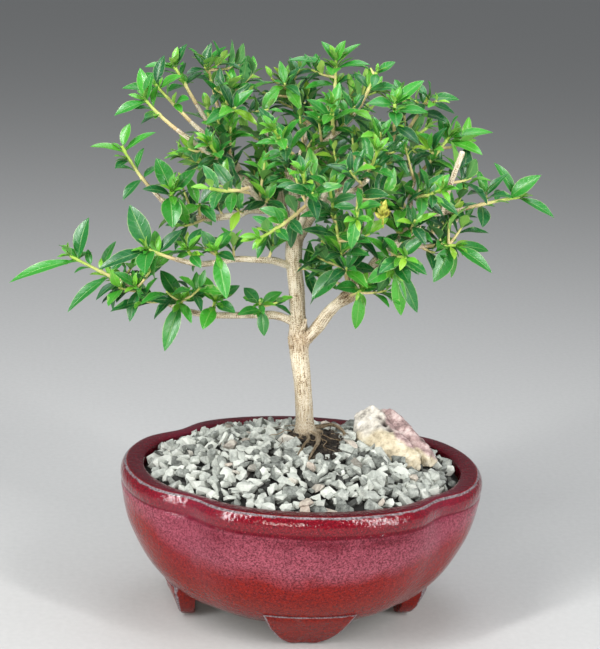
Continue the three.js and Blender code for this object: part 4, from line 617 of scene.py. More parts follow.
def leaf_finish(name, under):
    """Living serissa leaf: a waxy skin over green flesh. It gives soft glints, a pale midrib, faint side
    veins and a thin cream margin; young leaves are yellower, and the underside is paler and duller."""
    material, surface, add, place = new_finish(name)
    uv = add("UVMap", uv_map="UVMap")
    u, v = (add("SeparateXYZ", {0: uv}, out=axis) for axis in "XY")
    age, tone = (add("Attribute", out="Fac", attribute_name=key) for key in ("age", "tone"))
    # 0 on the midrib, 1 on the margin
    across = add("Math", {0: u, 1: 0.5}, operation="SUBTRACT")
    across = add("Math", {0: across}, operation="ABSOLUTE")
    across = add("Math", {0: across, 1: 2.0}, operation="MULTIPLY")
    # blotches about 1.8 mm wide
    blotch = add("TexNoise", {"Vector": place, "Scale": 560.0, "Detail": 2.0})
    shade = add("Math", {0: tone, 1: 0.26, 2: age}, operation="MULTIPLY_ADD")
    shade = add("Math", {0: blotch, 1: 0.05, 2: shade}, operation="MULTIPLY_ADD")
    if under:
        stops = [(0.0, "#b2cf62"), (0.35, "#86b84e"), (0.7, "#5f9c45"), (1.0, "#447f42")]
        smoothest, roughest = 0.5, 0.65
    else:
        stops = [(0.0, "#a6c63c"), (0.3, "#63ad2c"), (0.6, "#338f28"), (0.85, "#1a6c2a"), (1.0, "#115327")]
        smoothest, roughest = 0.25, 0.38
    colour = add("ValToRGB", {0: shade}, stops=stops)
    # seven side veins up each half, leaning towards the tip
    rise = add("Math", {0: across, 1: -1.1}, operation="MULTIPLY")
    wave = add("Math", {0: v, 1: 7.0, 2: rise}, operation="MULTIPLY_ADD")
    wave = add("Math", {0: wave, 1: 2 * math.pi}, operation="MULTIPLY")
    wave = add("Math", {0: wave}, operation="SINE")
    vein, rib, edge = (
        add("MapRange", {0: value, 1: low, 2: high, 3: first, 4: last}, interpolation_type="SMOOTHSTEP")
        for value, low, high, first, last in (
            (wave, 0.75, 1.0, 0.0, 1.0), (across, 0.02, 0.08, 1.0, 0.0), (across, 0.9, 0.99, 0.0, 1.0)))
    for line, strength, code in ((vein, 0.05, "#8fbf62"), (rib, 0.3, "#a9c878"), (edge, 0.42, "#c9d49a")):
        share = add("Math", {0: line, 1: strength}, operation="MULTIPLY")
        colour = add("Mix", {0: share, 6: colour, 7: ink(code)}, **COLOURS)
    rough = add("MapRange", {0: blotch, 1: 0.3, 2: 0.7, 3: smoothest, 4: roughest})
    height = add("Math", {0: vein, 1: -0.5, 2: rib}, operation="MULTIPLY_ADD")
    bump = add("Bump", {"Height": height, "Strength": 0.35, "Distance": 0.2 * MM}, invert=not under)
    feed(surface, {"Base Color": colour, "Roughness": rough, "Normal": bump, "IOR": 1.45,
                   "Specular IOR Level": 0.75})
    return material


def withered_finish():
    """A withered serissa leaf: dry yellow skin that browns in patches 2.4 mm wide."""
    material, surface, add, place = new_finish("withered_leaf")
    patch = add("TexNoise", {"Vector": place, "Scale": 420.0, "Detail": 4.0})
    colour = add("ValToRGB", {0: patch}, stops=[(0.36, "#7f7a33"), (0.46, "#b9b543"), (0.62, "#dadf6e")])
    feed(surface, {"Base Color": colour, "Roughness": 0.6})
    return material


def stem_finish():
    """Young serissa stem: pale green skin that dries to tan from its base, mottled every 1.4 mm."""
    material, surface, add, place = new_finish("green_stem")
    age = add("Attribute", out="Fac", attribute_name="age")
    mottle = add("TexNoise", {"Vector": place, "Scale": 700.0, "Detail": 4.0})
    shade = add("Math", {0: mottle, 1: 0.35, 2: age}, operation="MULTIPLY_ADD")
    colour = add("ValToRGB", {0: shade}, stops=[
        (0.1, "#93bf3e"), (0.4, "#b7c565"), (0.7, "#d6c78c"), (1.0, "#bda27a")])
    bump = add("Bump", {"Height": mottle, "Strength": 0.3, "Distance": 0.2 * MM})
    feed(surface, {"Base Color": colour, "Roughness": 0.5, "Normal": bump})
    return material


def bark_finish():
    """Old serissa bark: thin cream flakes over tan, with dark streaks along the limb and darker wood near
    the ground; fresh cuts are pale, and callus knobs are brown and rough."""
    material, surface, add, place = new_finish("flaky_bark")
    spoke = add("Attribute", out="Vector", attribute_name="spoke")
    run, cut, knob, low = (add("Attribute", out="Fac", attribute_name=key)
                           for key in ("run", "cut", "knob", "low"))
    # streaks 0.4 mm wide and 9 mm long, from the place round the limb and a slow run along it
    slow = add("Math", {0: run, 1: 0.05}, operation="MULTIPLY")
    streak = add("TexNoise", {"Vector": spoke, "W": slow, "Scale": 2.3, "Detail": 4.0, "Roughness": 0.6},
                 noise_dimensions="4D")
    # patches 9 mm wide and grit of 0.7 mm
    broad = add("TexNoise", {"Vector": place, "Scale": 110.0, "Detail": 4.0})
    grit = add("TexNoise", {"Vector": place, "Scale": 1400.0, "Detail": 4.0})
    mixed = add("Math", {0: broad, 1: 0.25, 2: streak}, operation="MULTIPLY_ADD")
    mixed = add("Math", {0: grit, 1: 0.34, 2: mixed}, operation="MULTIPLY_ADD")
    colour = add("ValToRGB", {0: mixed}, stops=[
        (0.63, "#4a3b2c"), (0.7, "#93795a"), (0.76, "#cbba99"), (0.84, "#e3d9c2"), (0.97, "#efe7d6")])
    for value, strength, code in ((low, 0.62, "#74685a"), (knob, 0.5, "#b08b68")):
        share = add("Math", {0: value, 1: strength}, operation="MULTIPLY")
        colour = add("Mix", {0: share, 6: colour, 7: ink(code)}, **COLOURS, blend_type="MULTIPLY")
    colour = add("Mix", {0: cut, 6: colour, 7: ink("#f0e2c6")}, **COLOURS)
    both = add("Math", {0: grit, 1: 0.4, 2: streak}, operation="MULTIPLY_ADD")
    bump = add("Bump", {"Height": both, "Strength": 0.7, "Distance": 0.6 * MM})
    feed(surface, {"Base Color": colour, "Roughness": 0.85, "Specular IOR Level": 0.3, "Normal": bump})
    return material


def glaze_finish():
    """Oxblood glaze on stoneware, which ran and pooled in the kiln. It is a glassy crimson band under the
    rim; hazy pink below it, partly its own colour and partly a painted reflection of the bright ground in
    front; and brick red down to the feet, tinged orange partly by a painted reflection of warm brown wood
    below. It is dark speckled all over, with painted glints as pale pink dots and painted shade with a
    purple sheen in the corners between the lobes, and worn to grey along the rim and the edges of the feet.
    Its orange-peel skin breaks up the glints."""
    material, surface, add, place = new_finish("oxblood_glaze")
    rim, notch_shade, level = (add("Attribute", out="Fac", attribute_name=key)
                          for key in ("rim", "notch_shade", "level"))
    # drifts of colour 29 mm wide, specks of 1 mm, painted glints 1.6 mm apart and a wear line that wanders
    # every 5 mm
    broad = add("TexNoise", {"Vector": place, "Scale": 34.0, "Detail": 6.0, "Roughness": 0.6})
    speck = add("TexNoise", {"Vector": place, "Scale": 950.0, "Detail": 4.0, "Roughness": 0.8})
    glint_cells = add("TexVoronoi", {"Vector": place, "Scale": 620.0, "Randomness": 1.0})
    ragged = add("TexNoise", {"Vector": place, "Scale": 190.0, "Detail": 4.0})
    drift = add("Math", {0: broad, 1: 0.22, 2: level}, operation="MULTIPLY_ADD")
    # the pink middle and the orange low down are partly painted reflections of the lit ground and warm wood
    colour = add("ValToRGB", {0: drift}, stops=[
        (0.0, "#5a0715"), (0.12, "#660f0a"), (0.38, "#8c1a04"), (0.51, "#8f1a10"), (0.6, "#a15260"),
        (0.69, "#964756"), (0.76, "#64091c"), (0.88, "#6e0516"), (1.0, "#7a0819")])
    mottle = add("MapRange", {0: speck, 1: 0.41, 2: 0.59, 3: 0.0, 4: 1.0})
    dark = add("Mix", {0: 0.8, 6: colour, 7: ink("#35040f")}, **COLOURS)
    colour = add("Mix", {0: mottle, 6: dark, 7: colour}, **COLOURS)
    # painted glints: pale pink dots where the orange peel would catch the light
    painted_glints = add("MapRange", {0: glint_cells, 1: 0.08, 2: 0.2, 3: 0.4, 4: 0.0})
    colour = add("Mix", {0: painted_glints, 6: colour, 7: ink("#c04a5c")}, **COLOURS)
    # painted shade with a purple sheen in the corners between the lobes
    pink = add("Math", {0: notch_shade, 1: 0.3}, operation="MULTIPLY")
    colour = add("Mix", {0: pink, 6: colour, 7: ink("#7d3044")}, **COLOURS)
    # the bare edge is ragged, 1 to 2 mm wide
    worn = add("Math", {0: ragged, 1: 0.6, 2: rim}, operation="MULTIPLY_ADD")
    worn = add("MapRange", {0: worn, 1: 0.9, 2: 1.1, 3: 0.0, 4: 1.0}, interpolation_type="SMOOTHSTEP")
    grey = add("Mix", {0: mottle, 6: ink("#4c4144"), 7: ink("#90868a")}, **COLOURS)
    colour = add("Mix", {0: worn, 6: colour, 7: grey}, **COLOURS)
    rough = add("MapRange", {0: worn, 1: 0.0, 2: 1.0, 3: 0.09, 4: 0.36})
    # orange peel of 2.4 mm
    peel = add("TexNoise", {"Vector": place, "Scale": 420.0, "Detail": 2.0})
    height = add("Math", {0: speck, 1: 0.1, 2: peel}, operation="MULTIPLY_ADD")
    bump = add("Bump", {"Height": height, "Strength": 0.75, "Distance": 0.5 * MM})
    # the glaze pools thick and glassy in the band
    thick = add("MapRange", {0: level, 1: 0.78, 2: 0.9, 3: 0.0, 4: 0.55})
    feed(surface, {"Base Color": colour, "Roughness": rough, "Normal": bump, "IOR": 1.25,
                   "Specular IOR Level": 0.7, "Coat Weight": thick, "Coat Normal": bump,
                   "Coat Roughness": 0.08})
    return material


def clay_finish():
    """Bare fired stoneware, where no glaze was brushed: matt, brown and sandy, with grains of 1.7 mm, which
    are drawn coarser than real sand to show."""
    material, surface, add, place = new_finish("bare_stoneware")
    sand = add("TexNoise", {"Vector": place, "Scale": 600.0, "Detail": 5.0})
    colour = add("ValToRGB", {0: sand}, stops=[(0.3, "#4d342a"), (0.7, "#7a5a48")])
    bump = add("Bump", {"Height": sand, "Strength": 0.5, "Distance": 0.5 * MM})
    feed(surface, {"Base Color": colour, "Roughness": 0.9, "Normal": bump})
    return material


def chip_finish():
    """Crushed greenish-grey rock: matt broken faces, each chip of its own grey, with pale dust in patches
    of 2.4 mm and dark grains of 0.45 mm; a few chips are cream or pinkish, and the bed and the buried chips
    are painted nearly black as the shade in the gaps."""
    material, surface, add, place = new_finish("crushed_greenstone")
    tone, warm, deep = (add("Attribute", out="Fac", attribute_name=key) for key in ("tone", "warm", "deep"))
    dust = add("TexNoise", {"Vector": place, "Scale": 420.0, "Detail": 5.0})
    grain = add("TexNoise", {"Vector": place, "Scale": 2200.0, "Detail": 3.0})
    shade = add("Math", {0: dust, 1: 0.5, 2: tone}, operation="MULTIPLY_ADD")
    shade = add("Math", {0: grain, 1: 0.25, 2: shade}, operation="MULTIPLY_ADD")
    colour = add("ValToRGB", {0: shade}, stops=[
        (0.30, "#474a46"), (0.48, "#8a8e88"), (0.66, "#babeb6"), (1.0, "#dadcd4")])
    cream = add("ValToRGB", {0: dust}, stops=[(0.3, "#a58d80"), (0.7, "#d2c0ac")])
    colour = add("Mix", {0: warm, 6: colour, 7: cream}, **COLOURS)
    # painted shade: the bed and the buried chips turn nearly black
    colour = add("Mix", {0: deep, 6: colour, 7: ink("#1b1a18")}, **COLOURS)
    bump = add("Bump", {"Height": grain, "Strength": 0.5, "Distance": 0.4 * MM})
    feed(surface, {"Base Color": colour, "Roughness": 0.82, "Specular IOR Level": 0.35, "Normal": bump})
    return material


def rock_finish():
    """Weathered vein rock: a cream crust, a buff broken face in front and a mauve-pink lump behind, all
    cloudy over 5 mm and sandy with grains of 0.9 mm, with painted shade darkening the hollows and ledges."""
    material, surface, add, place = new_finish("weathered_vein_rock")
    pink, buff, hollow_shade = (add("Attribute", out="Fac", attribute_name=key) for key in ("pink", "buff", "hollow_shade"))
    broad = add("TexNoise", {"Vector": place, "Scale": 190.0, "Detail": 6.0, "Roughness": 0.65})
    sand = add("TexNoise", {"Vector": place, "Scale": 1100.0, "Detail": 4.0})
    cream, mauve, yellow = (add("ValToRGB", {0: broad}, stops=stops) for stops in (
        [(0.32, "#8d8880"), (0.44, "#c4beb2"), (0.6, "#e0dbd1")],
        [(0.34, "#6a5856"), (0.5, "#a98f8c"), (0.66, "#d6c3be")],
        [(0.32, "#998d76"), (0.46, "#c8bb9f"), (0.62, "#dbd2bb")]))
    colour = add("Mix", {0: buff, 6: cream, 7: yellow}, **COLOURS)
    colour = add("Mix", {0: pink, 6: colour, 7: mauve}, **COLOURS)
    # painted shade in the hollows along the seam, and faintly along the ledges
    colour = add("Mix", {0: hollow_shade, 6: colour, 7: ink("#3b2f2c")}, **COLOURS)
    bump = add("Bump", {"Height": sand, "Strength": 0.6, "Distance": 0.6 * MM})
    feed(surface, {"Base Color": colour, "Roughness": 0.85, "Normal": bump})
    return material


def soil_finish():
    """Damp potting soil: nearly black crumbs of 2 mm with brown bark and a little pale grit."""
    material, surface, add, place = new_finish("damp_soil")
    crumb = add("TexVoronoi", {"Vector": place, "Scale": 480.0}, out="Color")
    fine = add("TexNoise", {"Vector": place, "Scale": 1500.0, "Detail": 4.0})
    colour = add("ValToRGB", {0: crumb}, stops=[
        (0.0, "#14110e"), (0.5, "#272019"), (0.8, "#3d342b"), (1.0, "#8a7f6d")])
    bump = add("Bump", {"Height": fine, "Strength": 0.9, "Distance": 1.0 * MM})
    feed(surface, {"Base Color": colour, "Roughness": 0.95, "Normal": bump})
    return material


def mesh_finish():
    """Moulded polyethylene drain mesh: dull black, slightly waxy, with scuffs 1.25 mm wide."""
    material, surface, add, place = new_finish("polyethylene_mesh")
    scuff = add("TexNoise", {"Vector": place, "Scale": 800.0, "Detail": 3.0})
    colour = add("ValToRGB", {0: scuff}, stops=[(0.3, "#181818"), (0.8, "#2c2c2b")])
    feed(surface, {"Base Color": colour, "Roughness": 0.55})
    return material


def floor_finish():
    """Plain pale studio floor, with a faint tooth of 3 mm."""
    material, surface, add, place = new_finish("pale_floor")
    tooth = add("TexNoise", {"Vector": place, "Scale": 300.0, "Detail": 3.0})
    colour = add("ValToRGB", {0: tooth}, stops=[(0.3, "#bebebc"), (0.7, "#c3c3c1")])
    feed(surface, {"Base Color": colour, "Roughness": 0.9})
    return material


# Leaves: the stations up a leaf, and the points round its section as [across, level, under], which are the
# right margin, the keel, the left margin and the upper face from left to right. A ring runs anticlockwise
# seen from the tip.
FULL_STATIONS = np.array([0, 0.08, 0.2, 0.35, 0.52, 0.7, 0.86])
FULL_SECTION = np.array([[1, 1, 0], [0, 0, 1], [-1, 1, 0], [-0.5, 0.4, 0], [0, 0, 0], [0.5, 0.4, 0]])
FINE_STATIONS = np.array([0, 0.06, 0.15, 0.26, 0.38, 0.51, 0.64, 0.77, 0.89])
FINE_SECTION = np.array([[1, 1, 0], [0.5, 0.41, 1], [0, 0, 1], [-0.5, 0.41, 1], [-1, 1, 0], [-0.66, 0.58, 0],
                         [-0.33, 0.24, 0], [0, 0, 0], [0.33, 0.24, 0], [0.66, 0.58, 0]])
SMALL_STATIONS = np.array([0, 0.12, 0.34, 0.62, 0.85])
SMALL_SECTION = np.array([[1, 1, 0], [0, 0, 1], [-1, 1, 0], [0, 0, 0]])


def add_leaves(skin, leaves, stations, section):
    """Many leaves at once. The midrib is an arc: base + along R sin(droop s) - up R (1 - cos(droop s)), with
    R = reach / (2 sin(droop / 2)); half the width is w/2 sin(π x^0.87)^0.9 with x = (s - 0.05) / 0.95, over
    a thin stalk; each half rises from the midrib by its fold and waves at its margin."""
    base, tip, upward = (leaves[key] for key in ("base", "tip", "upward"))
    width, droop, fold, twist = (leaves[key][:, None] for key in ("width", "droop", "fold", "twist"))
    count = len(base)
    chord = tip - base
    reach = np.linalg.norm(chord, axis=1, keepdims=True)
    chord = chord / reach
    lift = unit(upward - chord * dot(upward, chord))
    along = chord * np.cos(droop / 2) + lift * np.sin(droop / 2)
    up = lift * np.cos(droop / 2) - chord * np.sin(droop / 2)
    side = unit(np.cross(along, up))
    bend = reach / (2 * np.sin(droop / 2))
    s = stations[None, :]
    x = np.clip((s - 0.05) / 0.95, 0, 1)
    half = width / 2 * np.maximum(np.sin(math.pi * x ** 0.87) ** 0.9, 0.09)
    turn = (droop * s)[..., None]
    middle = (base[:, None] + along[:, None] * bend[:, None] * np.sin(turn)
              - up[:, None] * bend[:, None] * (1 - np.cos(turn)))
    face = up[:, None] * np.cos(turn) + along[:, None] * np.sin(turn)
    roll = (twist * (s - 0.1))[..., None]
    across = side[:, None] * np.cos(roll) + face * np.sin(roll)
    face = face * np.cos(roll) - side[:, None] * np.sin(roll)
    u, level, under = (section[None, None, :, k] for k in range(3))
    half = half[..., None]
    margin = np.sin(2 * math.pi * (1.4 * s[..., None] + leaves["phase"][:, None, None] + 0.5 * (u > 0)))
    height = half * level * fold[..., None] + np.abs(u) ** 2 * half * 0.06 * margin
    height = height - under * (0.05 * width[..., None] * (1 - 0.7 * s[..., None]) + 0.1)
    points = (middle[:, :, None] + across[:, :, None] * (half * u)[..., None]
              + face[:, :, None] * height[..., None])
    rings, around = len(stations), len(section)
    points = np.concatenate([points.reshape(count, -1, 3), tip[:, None]], axis=1)
    each = rings * around + 1
    offset = (np.arange(count) * each)[:, None, None]
    quads = ring_faces(rings, around)
    last = (rings - 1) * around
    i = np.arange(around)
    cone = np.stack([last + i, last + (i + 1) % around, np.full(around, each - 1)], axis=-1)
    cap = i[::-1][None]
    low = i < np.flatnonzero(section[:, 0] == -1)[0]
    below = np.tile(low, rings - 1)
    blocks = [((faces[None] + offset).reshape(-1, faces.shape[1]), finish) for faces, finish in (
        (quads[below], UNDER), (quads[~below], UPPER), (cone[low], UNDER), (cone[~low], UPPER), (cap, UNDER))]
    v = np.append(np.repeat(stations, around), 1.0)
    across_uv = np.append(np.tile((section[:, 0] + 1) / 2, rings), 0.5)
    skin.add(points, blocks, u=np.tile(across_uv, count), v=np.tile(v, count),
             age=np.repeat(leaves["age"], each), tone=np.repeat(leaves["tone"], each))


def in_opening(point):
    """Whether the line of sight to a point passes through one of the openings in the crown, on the plane
    y = 0 of the tree's frame."""
    x, y, z = in_tree_frame(point)
    share = CAMERA_STAND[1] / (CAMERA_STAND[1] - y)
    seen_x = CAMERA_STAND[0] + (x - CAMERA_STAND[0]) * share
    seen_z = CAMERA_STAND[2] + (z - CAMERA_STAND[2]) * share
    return any(y < furthest and ((seen_x - across) / wide) ** 2 + ((seen_z - up) / high) ** 2 < 1
               for across, up, wide, high, furthest in OPENINGS)


class Leaves:
    """A list of leaves to be made at once, each by its base, its tip and the way its upper face looks."""

    def __init__(self, seed):
        self.rows = []
        self.rng = np.random.default_rng(seed)

    def put(self, base, tip, upward, width, age, droop=LEAF_DROOP, fold=0.28, twist=0.0):
        """Adds a leaf, with a draw for its tone and one for the wave of its margin."""
        self.rows.append((base, tip, upward, width, droop, fold, twist, age, self.rng.random(),
                          self.rng.random()))

    def put_inside(self, base, tip, upward, width, age, **bends):
        """Adds a leaf, unless it would leave the solids' own box or close an opening of the crown."""
        wanted = np.array([base, tip])
        margin = 0.3 * width + 0.3
        outside = np.any(wanted < ROOM_LOW + margin) or np.any(wanted > ROOM_HIGH - margin)
        if not outside and not in_opening((base + tip) / 2):
            self.put(base, tip, upward, width, age, **bends)

    def table(self):
        """The leaves' bases, tips and other values, each as one array."""
        columns = list(zip(*self.rows))
        names = ("base", "tip", "upward", "width", "droop", "fold", "twist", "age", "tone", "phase")
        return {name: np.array(column, float) for name, column in zip(names, columns)}


# Shoots
def stem_point(stem, t):
    """A point of a quadratic curve: (1 - t)² a + 2t (1 - t) b + t² c."""
    a, b, c = stem
    return (1 - t) ** 2 * a + 2 * t * (1 - t) * b + t * t * c


def stem_way(stem, t):
    """The direction of that curve: (1 - t) (b - a) + t (c - b)."""
    a, b, c = stem
    return unit((1 - t) * (b - a) + t * (c - b))


def stem_length(stem):
    """The length of that curve, in 200 steps."""
    points = np.array([stem_point(stem, k / 200) for k in range(201)])
    return float(np.linalg.norm(np.diff(points, axis=0), axis=1).sum())


def outward(tangent, turn):
    """A direction square to the stem, turned about it from the level."""
    side = unit(np.cross(UP, tangent))
    return side * math.cos(turn) + np.cross(tangent, side) * math.sin(turn)


def paired_leaves(stem, seed, start):
    """Leaves in crossed pairs up the stem, with a close pair of small ones at its tip, as in the source."""
    pairs = max(2, min(5, math.floor(stem_length(stem) / INTERNODE + 0.5)))
    leaves = []
    for k in range(pairs + 1):
        at_tip = k == pairs
        t = 1 if at_tip else 0.24 + 0.72 * k / pairs
        tangent = stem_way(stem, t)
        for half in range(2):
            n = 2 * k + half
            turn = start + k * math.pi / 2 + half * math.pi + (chance(seed, n, 2) - 0.5) * 0.5
            opened = 0.62 if at_tip else 1.02 + 0.25 * chance(seed, n, 3)
            reach = 10 if at_tip else 12 + 6 * chance(seed, n, 4)
            chord = outward(tangent, turn) * math.sin(opened) + tangent * math.cos(opened) + UP * LEAF_RISE
            tip = stem_point(stem, t) + unit(chord) * reach
            leaves.append({"t": t, "tip": tip, "width": reach * (0.38 + 0.08 * chance(seed, n, 5))})
    return leaves


def plan_shoots():
    """Every shoot of the source: its stem's curve, its leaves and the turn of its square section."""
    shoots = []
    tips = []
    for name, (stem, rows) in SHOWN_SHOOTS.items():
        leaves = [{"t": t, "tip": tree_points(tip), "width": width} for t, *tip, width in rows]
        shoots.append({"name": name, "stem": tree_points(stem), "leaves": leaves, "start": math.pi / 4})
        tips.append(np.array(stem[2], float))
    roots = []
    for name, run in LIMBS.items():
        if name == "trunk" or name.startswith("root"):
            continue
        points = np.array(run)[:, :3]
        for k in range(1, len(points)):
            roots += [points[k], (points[k] + points[k - 1]) / 2]
    roots = np.array(roots)
    for i in range(DOME_SPOTS):
        height = DOME_HIGHEST + (DOME_LOWEST - DOME_HIGHEST) * i / (DOME_SPOTS - 1)
        level = math.sqrt(1 - height * height)
        turn = GOLDEN_ANGLE * i
        spot = np.array([level * math.cos(turn), level * math.sin(turn), height]) * DOME_RADII
        spot = spot * (0.88 + 0.14 * chance(i, 1, 31)) + DOME_CENTRE
        if any(np.linalg.norm(tip - spot) < SPOT_CLEARANCE for tip in tips):
            continue
        tips.append(spot)
        inward = (spot - DOME_CENTRE) * [1, 1, 0.6] + [0, 0, 14]
        under = spot - 16 * unit(inward)
        root = roots[np.argmin(np.linalg.norm(roots - under, axis=1))]
        run = spot - root
        run = run * min(1, SHOOT_LIMIT / np.linalg.norm(run))
        bend = root + run / 2 - UP * SHOOT_SAG
        stem = tree_points([root, bend, root + run])
        start = chance(i, 0, 1) * math.pi
        shoots.append({"name": f"dome_{i:02d}", "stem": stem, "leaves": paired_leaves(stem, i, start),
                       "start": start})
    return [shoot for shoot in shoots if f"shoot_{shoot['name']}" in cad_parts]


def best_face(joint, chord):
    """The free face of a joint that looks most along a leaf, or -1 where none does well enough."""
    found = [(float(normal @ chord), -f) for f, normal in enumerate(joint["faces"])
             if f not in joint["taken"] and normal @ chord > LEAST_OUTWARD]
    return -max(found)[1] if found else -1


def joint_at(shoot, place):
    """A joint at a place along a shoot's stem: its middle, its four faces and the leaves it will carry."""
    t = place / shoot["length"]
    tangent = stem_way(shoot["stem"], t)
    faces = [outward(tangent, shoot["start"] + f * math.pi / 2) for f in range(4)]
    return {"place": place, "centre": stem_point(shoot["stem"], t), "tangent": tangent, "faces": faces,
            "taken": [], "leaves": []}


def share_out(shoot):
    """Shares a shoot's leaves out to joints on its stem, lowest first, as in the source."""
    lowest = shoot["from"] + NODE_HEIGHT / 2 + NODE_SPACE
    joints = []
    for leaf in sorted(shoot["leaves"], key=lambda one: one["t"]):
        chord = unit(leaf["tip"] - stem_point(shoot["stem"], leaf["t"]))
        place = leaf["t"] * shoot["length"]
        joint = joints[-1] if joints else None
        if joint is None or place - joint["place"] >= 2 * NODE_HEIGHT or best_face(joint, chord) < 0:
            least = lowest if joint is None else joint["place"] + NODE_HEIGHT + NODE_SPACE
            joint = joint_at(shoot, max(least, place))
            joints.append(joint)
        face = max(0, best_face(joint, chord))
        leaf["base"] = joint["centre"] + joint["faces"][face] * STEM_RADIUS * math.sqrt(0.5)
        joint["taken"].append(face)
        joint["leaves"].append(leaf)
    shoot["joints"] = joints


def bent_tip(base, tip, tangent, course):
    """Where a leaf's tip comes to when it takes a changed course."""
    turn, lift, share, _ = course
    chord = turned((tip - base) * share, tangent, turn)
    return base + turned(chord, unit(np.cross(chord, UP)), lift)


def recover(shoot):
    """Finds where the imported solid's stem starts and which course each of its leaves took, by the corners
    that it has there."""
    solid, _ = points_of(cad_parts[f"shoot_{shoot['name']}"].data)

    def has(point):
        """Whether the solid has a corner there."""
        return np.min(np.linalg.norm(solid - point, axis=1)) < 0.02

    shoot["length"] = stem_length(shoot["stem"])
    for k in range(1, 120):
        place = k * STEM_STEP
        t = place / shoot["length"]
        radius = STEM_RADIUS + (TIP_RADIUS - STEM_RADIUS) * t
        way = stem_way(shoot["stem"], t)
        centre = stem_point(shoot["stem"], t)
        corners = [centre + outward(way, shoot["start"] + (c - 0.5) * math.pi / 2) * radius for c in range(4)]
        if all(has(corner) for corner in corners):
            break
    shoot["from"] = place
    share_out(shoot)
    for joint in shoot["joints"]:
        for leaf in joint["leaves"]:
            for course in COURSES:
                tip = bent_tip(leaf["base"], leaf["tip"], joint["tangent"], course)
                if has(tip):
                    leaf["settled"] = tip
                    leaf["width"] *= course[2]
                    break


def leaf_face(tangent, point, lean=0.3):
    """The way that a leaf's upper face looks: up its stem, and to the light above and in front of the
    tree. Leaves at the back look outwards instead."""
    return UP * 0.75 + tangent * 0.4 + FRONT * lean * np.clip((34 - point[1]) / 30, -0.7, 1)


def grow_stem(skin, shoot):
    """A shoot's stem: r = 0.98 - 0.28 share, with 0.3 exp(-(distance / 0.8)²) more at each joint. It is
    tan at its base and green at its tip."""
    top = max(joint["place"] for joint in shoot["joints"])
    places = np.linspace(0, top + 0.6, max(8, int(shoot["length"] / 1.1)))
    share = places / shoot["length"]
    path = np.array([stem_point(shoot["stem"], t) for t in share])
    radius = 0.98 - 0.28 * share
    for joint in shoot["joints"]:
        radius = radius + 0.3 * np.exp(-((places - joint["place"]) / 0.8) ** 2)
    age = np.repeat(np.clip(0.75 - 0.75 * share, 0, 1), STEM_AROUND)
    closed_tube(skin, tube_rings(path, radius, STEM_AROUND), STEM, age=age, u=0.5, v=0.5)


def grow_tip(tufts, shoot, rng):
    """Six young leaves round a shoot's tip, which open more and grow longer from the inner to the outer."""
    end = shoot["joints"][-1]
    base = end["centre"] + end["tangent"] * 0.6
    for k, (spread, reach) in enumerate(TIP_LEAVES):
        away = outward(end["tangent"], shoot["start"] + k * 1.6 + 0.5 * rng.random())
        way = unit(end["tangent"] + away * (spread + 0.3 * rng.random()))
        size = reach + 2 * rng.random()
        tufts.put_inside(base, base + way * size, leaf_face(end["tangent"], base), size * 0.4,
                         0.08 + 0.2 * rng.random(), fold=0.3)


def fill_gaps(leaves, shoot, rng):
    """A pair of leaves halfway between joints that stand far apart."""
    for low, high in zip(shoot["joints"], shoot["joints"][1:]):
        if high["place"] - low["place"] < WIDE_INTERNODE:
            continue
        middle = joint_at(shoot, (low["place"] + high["place"]) / 2)
        centre, tangent = middle["centre"], middle["tangent"]
        turn = rng.random() * math.pi
        for half in range(2):
            away = outward(tangent, turn + half * math.pi)
            way = unit(away * 0.85 + tangent * 0.5 + UP * 0.15)
            size = 8 + 4 * rng.random()
            leaves.put_inside(centre + away * 0.7, centre + way * size, leaf_face(tangent, centre),
                              size * 0.44, 0.5 + 0.2 * rng.random(), twist=rng.normal(0, 0.2))


def grow_shoot(shoot, finishes, number):
    """A leafy shoot: a round stem with swollen joints, its leaves, small leaves in their axils, a tuft of
    young leaves at its tip and a pair of leaves in each wide gap."""
    skin = Skin()
    leaves = Leaves(1000 + number)
    tufts = Leaves(2000 + number)
    rng = np.random.default_rng(3000 + number)
    shown = shoot["name"] in SHOWN_SHOOTS
    lean, fullness, axil_leaves = (0.8, 1.06, 2) if shown else (0.3, 0.9, 1)
    grow_stem(skin, shoot)
    for joint in shoot["joints"]:
        young = np.clip(joint["place"] / shoot["length"], 0, 1)
        tangent = joint["tangent"]
        for leaf in joint["leaves"]:
            chord = unit(leaf["tip"] - leaf["base"])
            if "settled" in leaf:
                size = np.linalg.norm(leaf["settled"] - leaf["base"])
                age = np.clip(0.62 - 0.25 * young + 0.35 * rng.random() - (0.3 if size < 10 else 0), 0, 1)
                leaves.put(leaf["base"], leaf["settled"], leaf_face(tangent, leaf["base"], lean),
                           leaf["width"] * fullness, age, fold=0.24)
                chord = unit(leaf["settled"] - leaf["base"])
            for _ in range(axil_leaves):
                way = unit(chord * (0.7 + 0.5 * rng.random()) + tangent * 0.6 + rng.normal(0, 0.42, 3))
                size = 4.5 + 5.5 * rng.random()
                base = joint["centre"] + chord * 0.7 + tangent * 0.3
                tufts.put_inside(base, base + way * size, leaf_face(tangent, base), size * 0.42,
                                 0.35 * rng.random() + 0.1, fold=0.3, twist=rng.normal(0, 0.3))
    grow_tip(tufts, shoot, rng)
    fill_gaps(leaves, shoot, rng)
    stations, section = (FINE_STATIONS, FINE_SECTION) if shown else (FULL_STATIONS, FULL_SECTION)
    add_leaves(skin, leaves.table(), stations, section)
    if tufts.rows:
        add_leaves(skin, tufts.table(), SMALL_STATIONS, SMALL_SECTION)
    return make_piece(skin, f"leafy_{shoot['name']}", finishes, [f"shoot_{shoot['name']}"],
                      sharp=LEAF_SHARP)


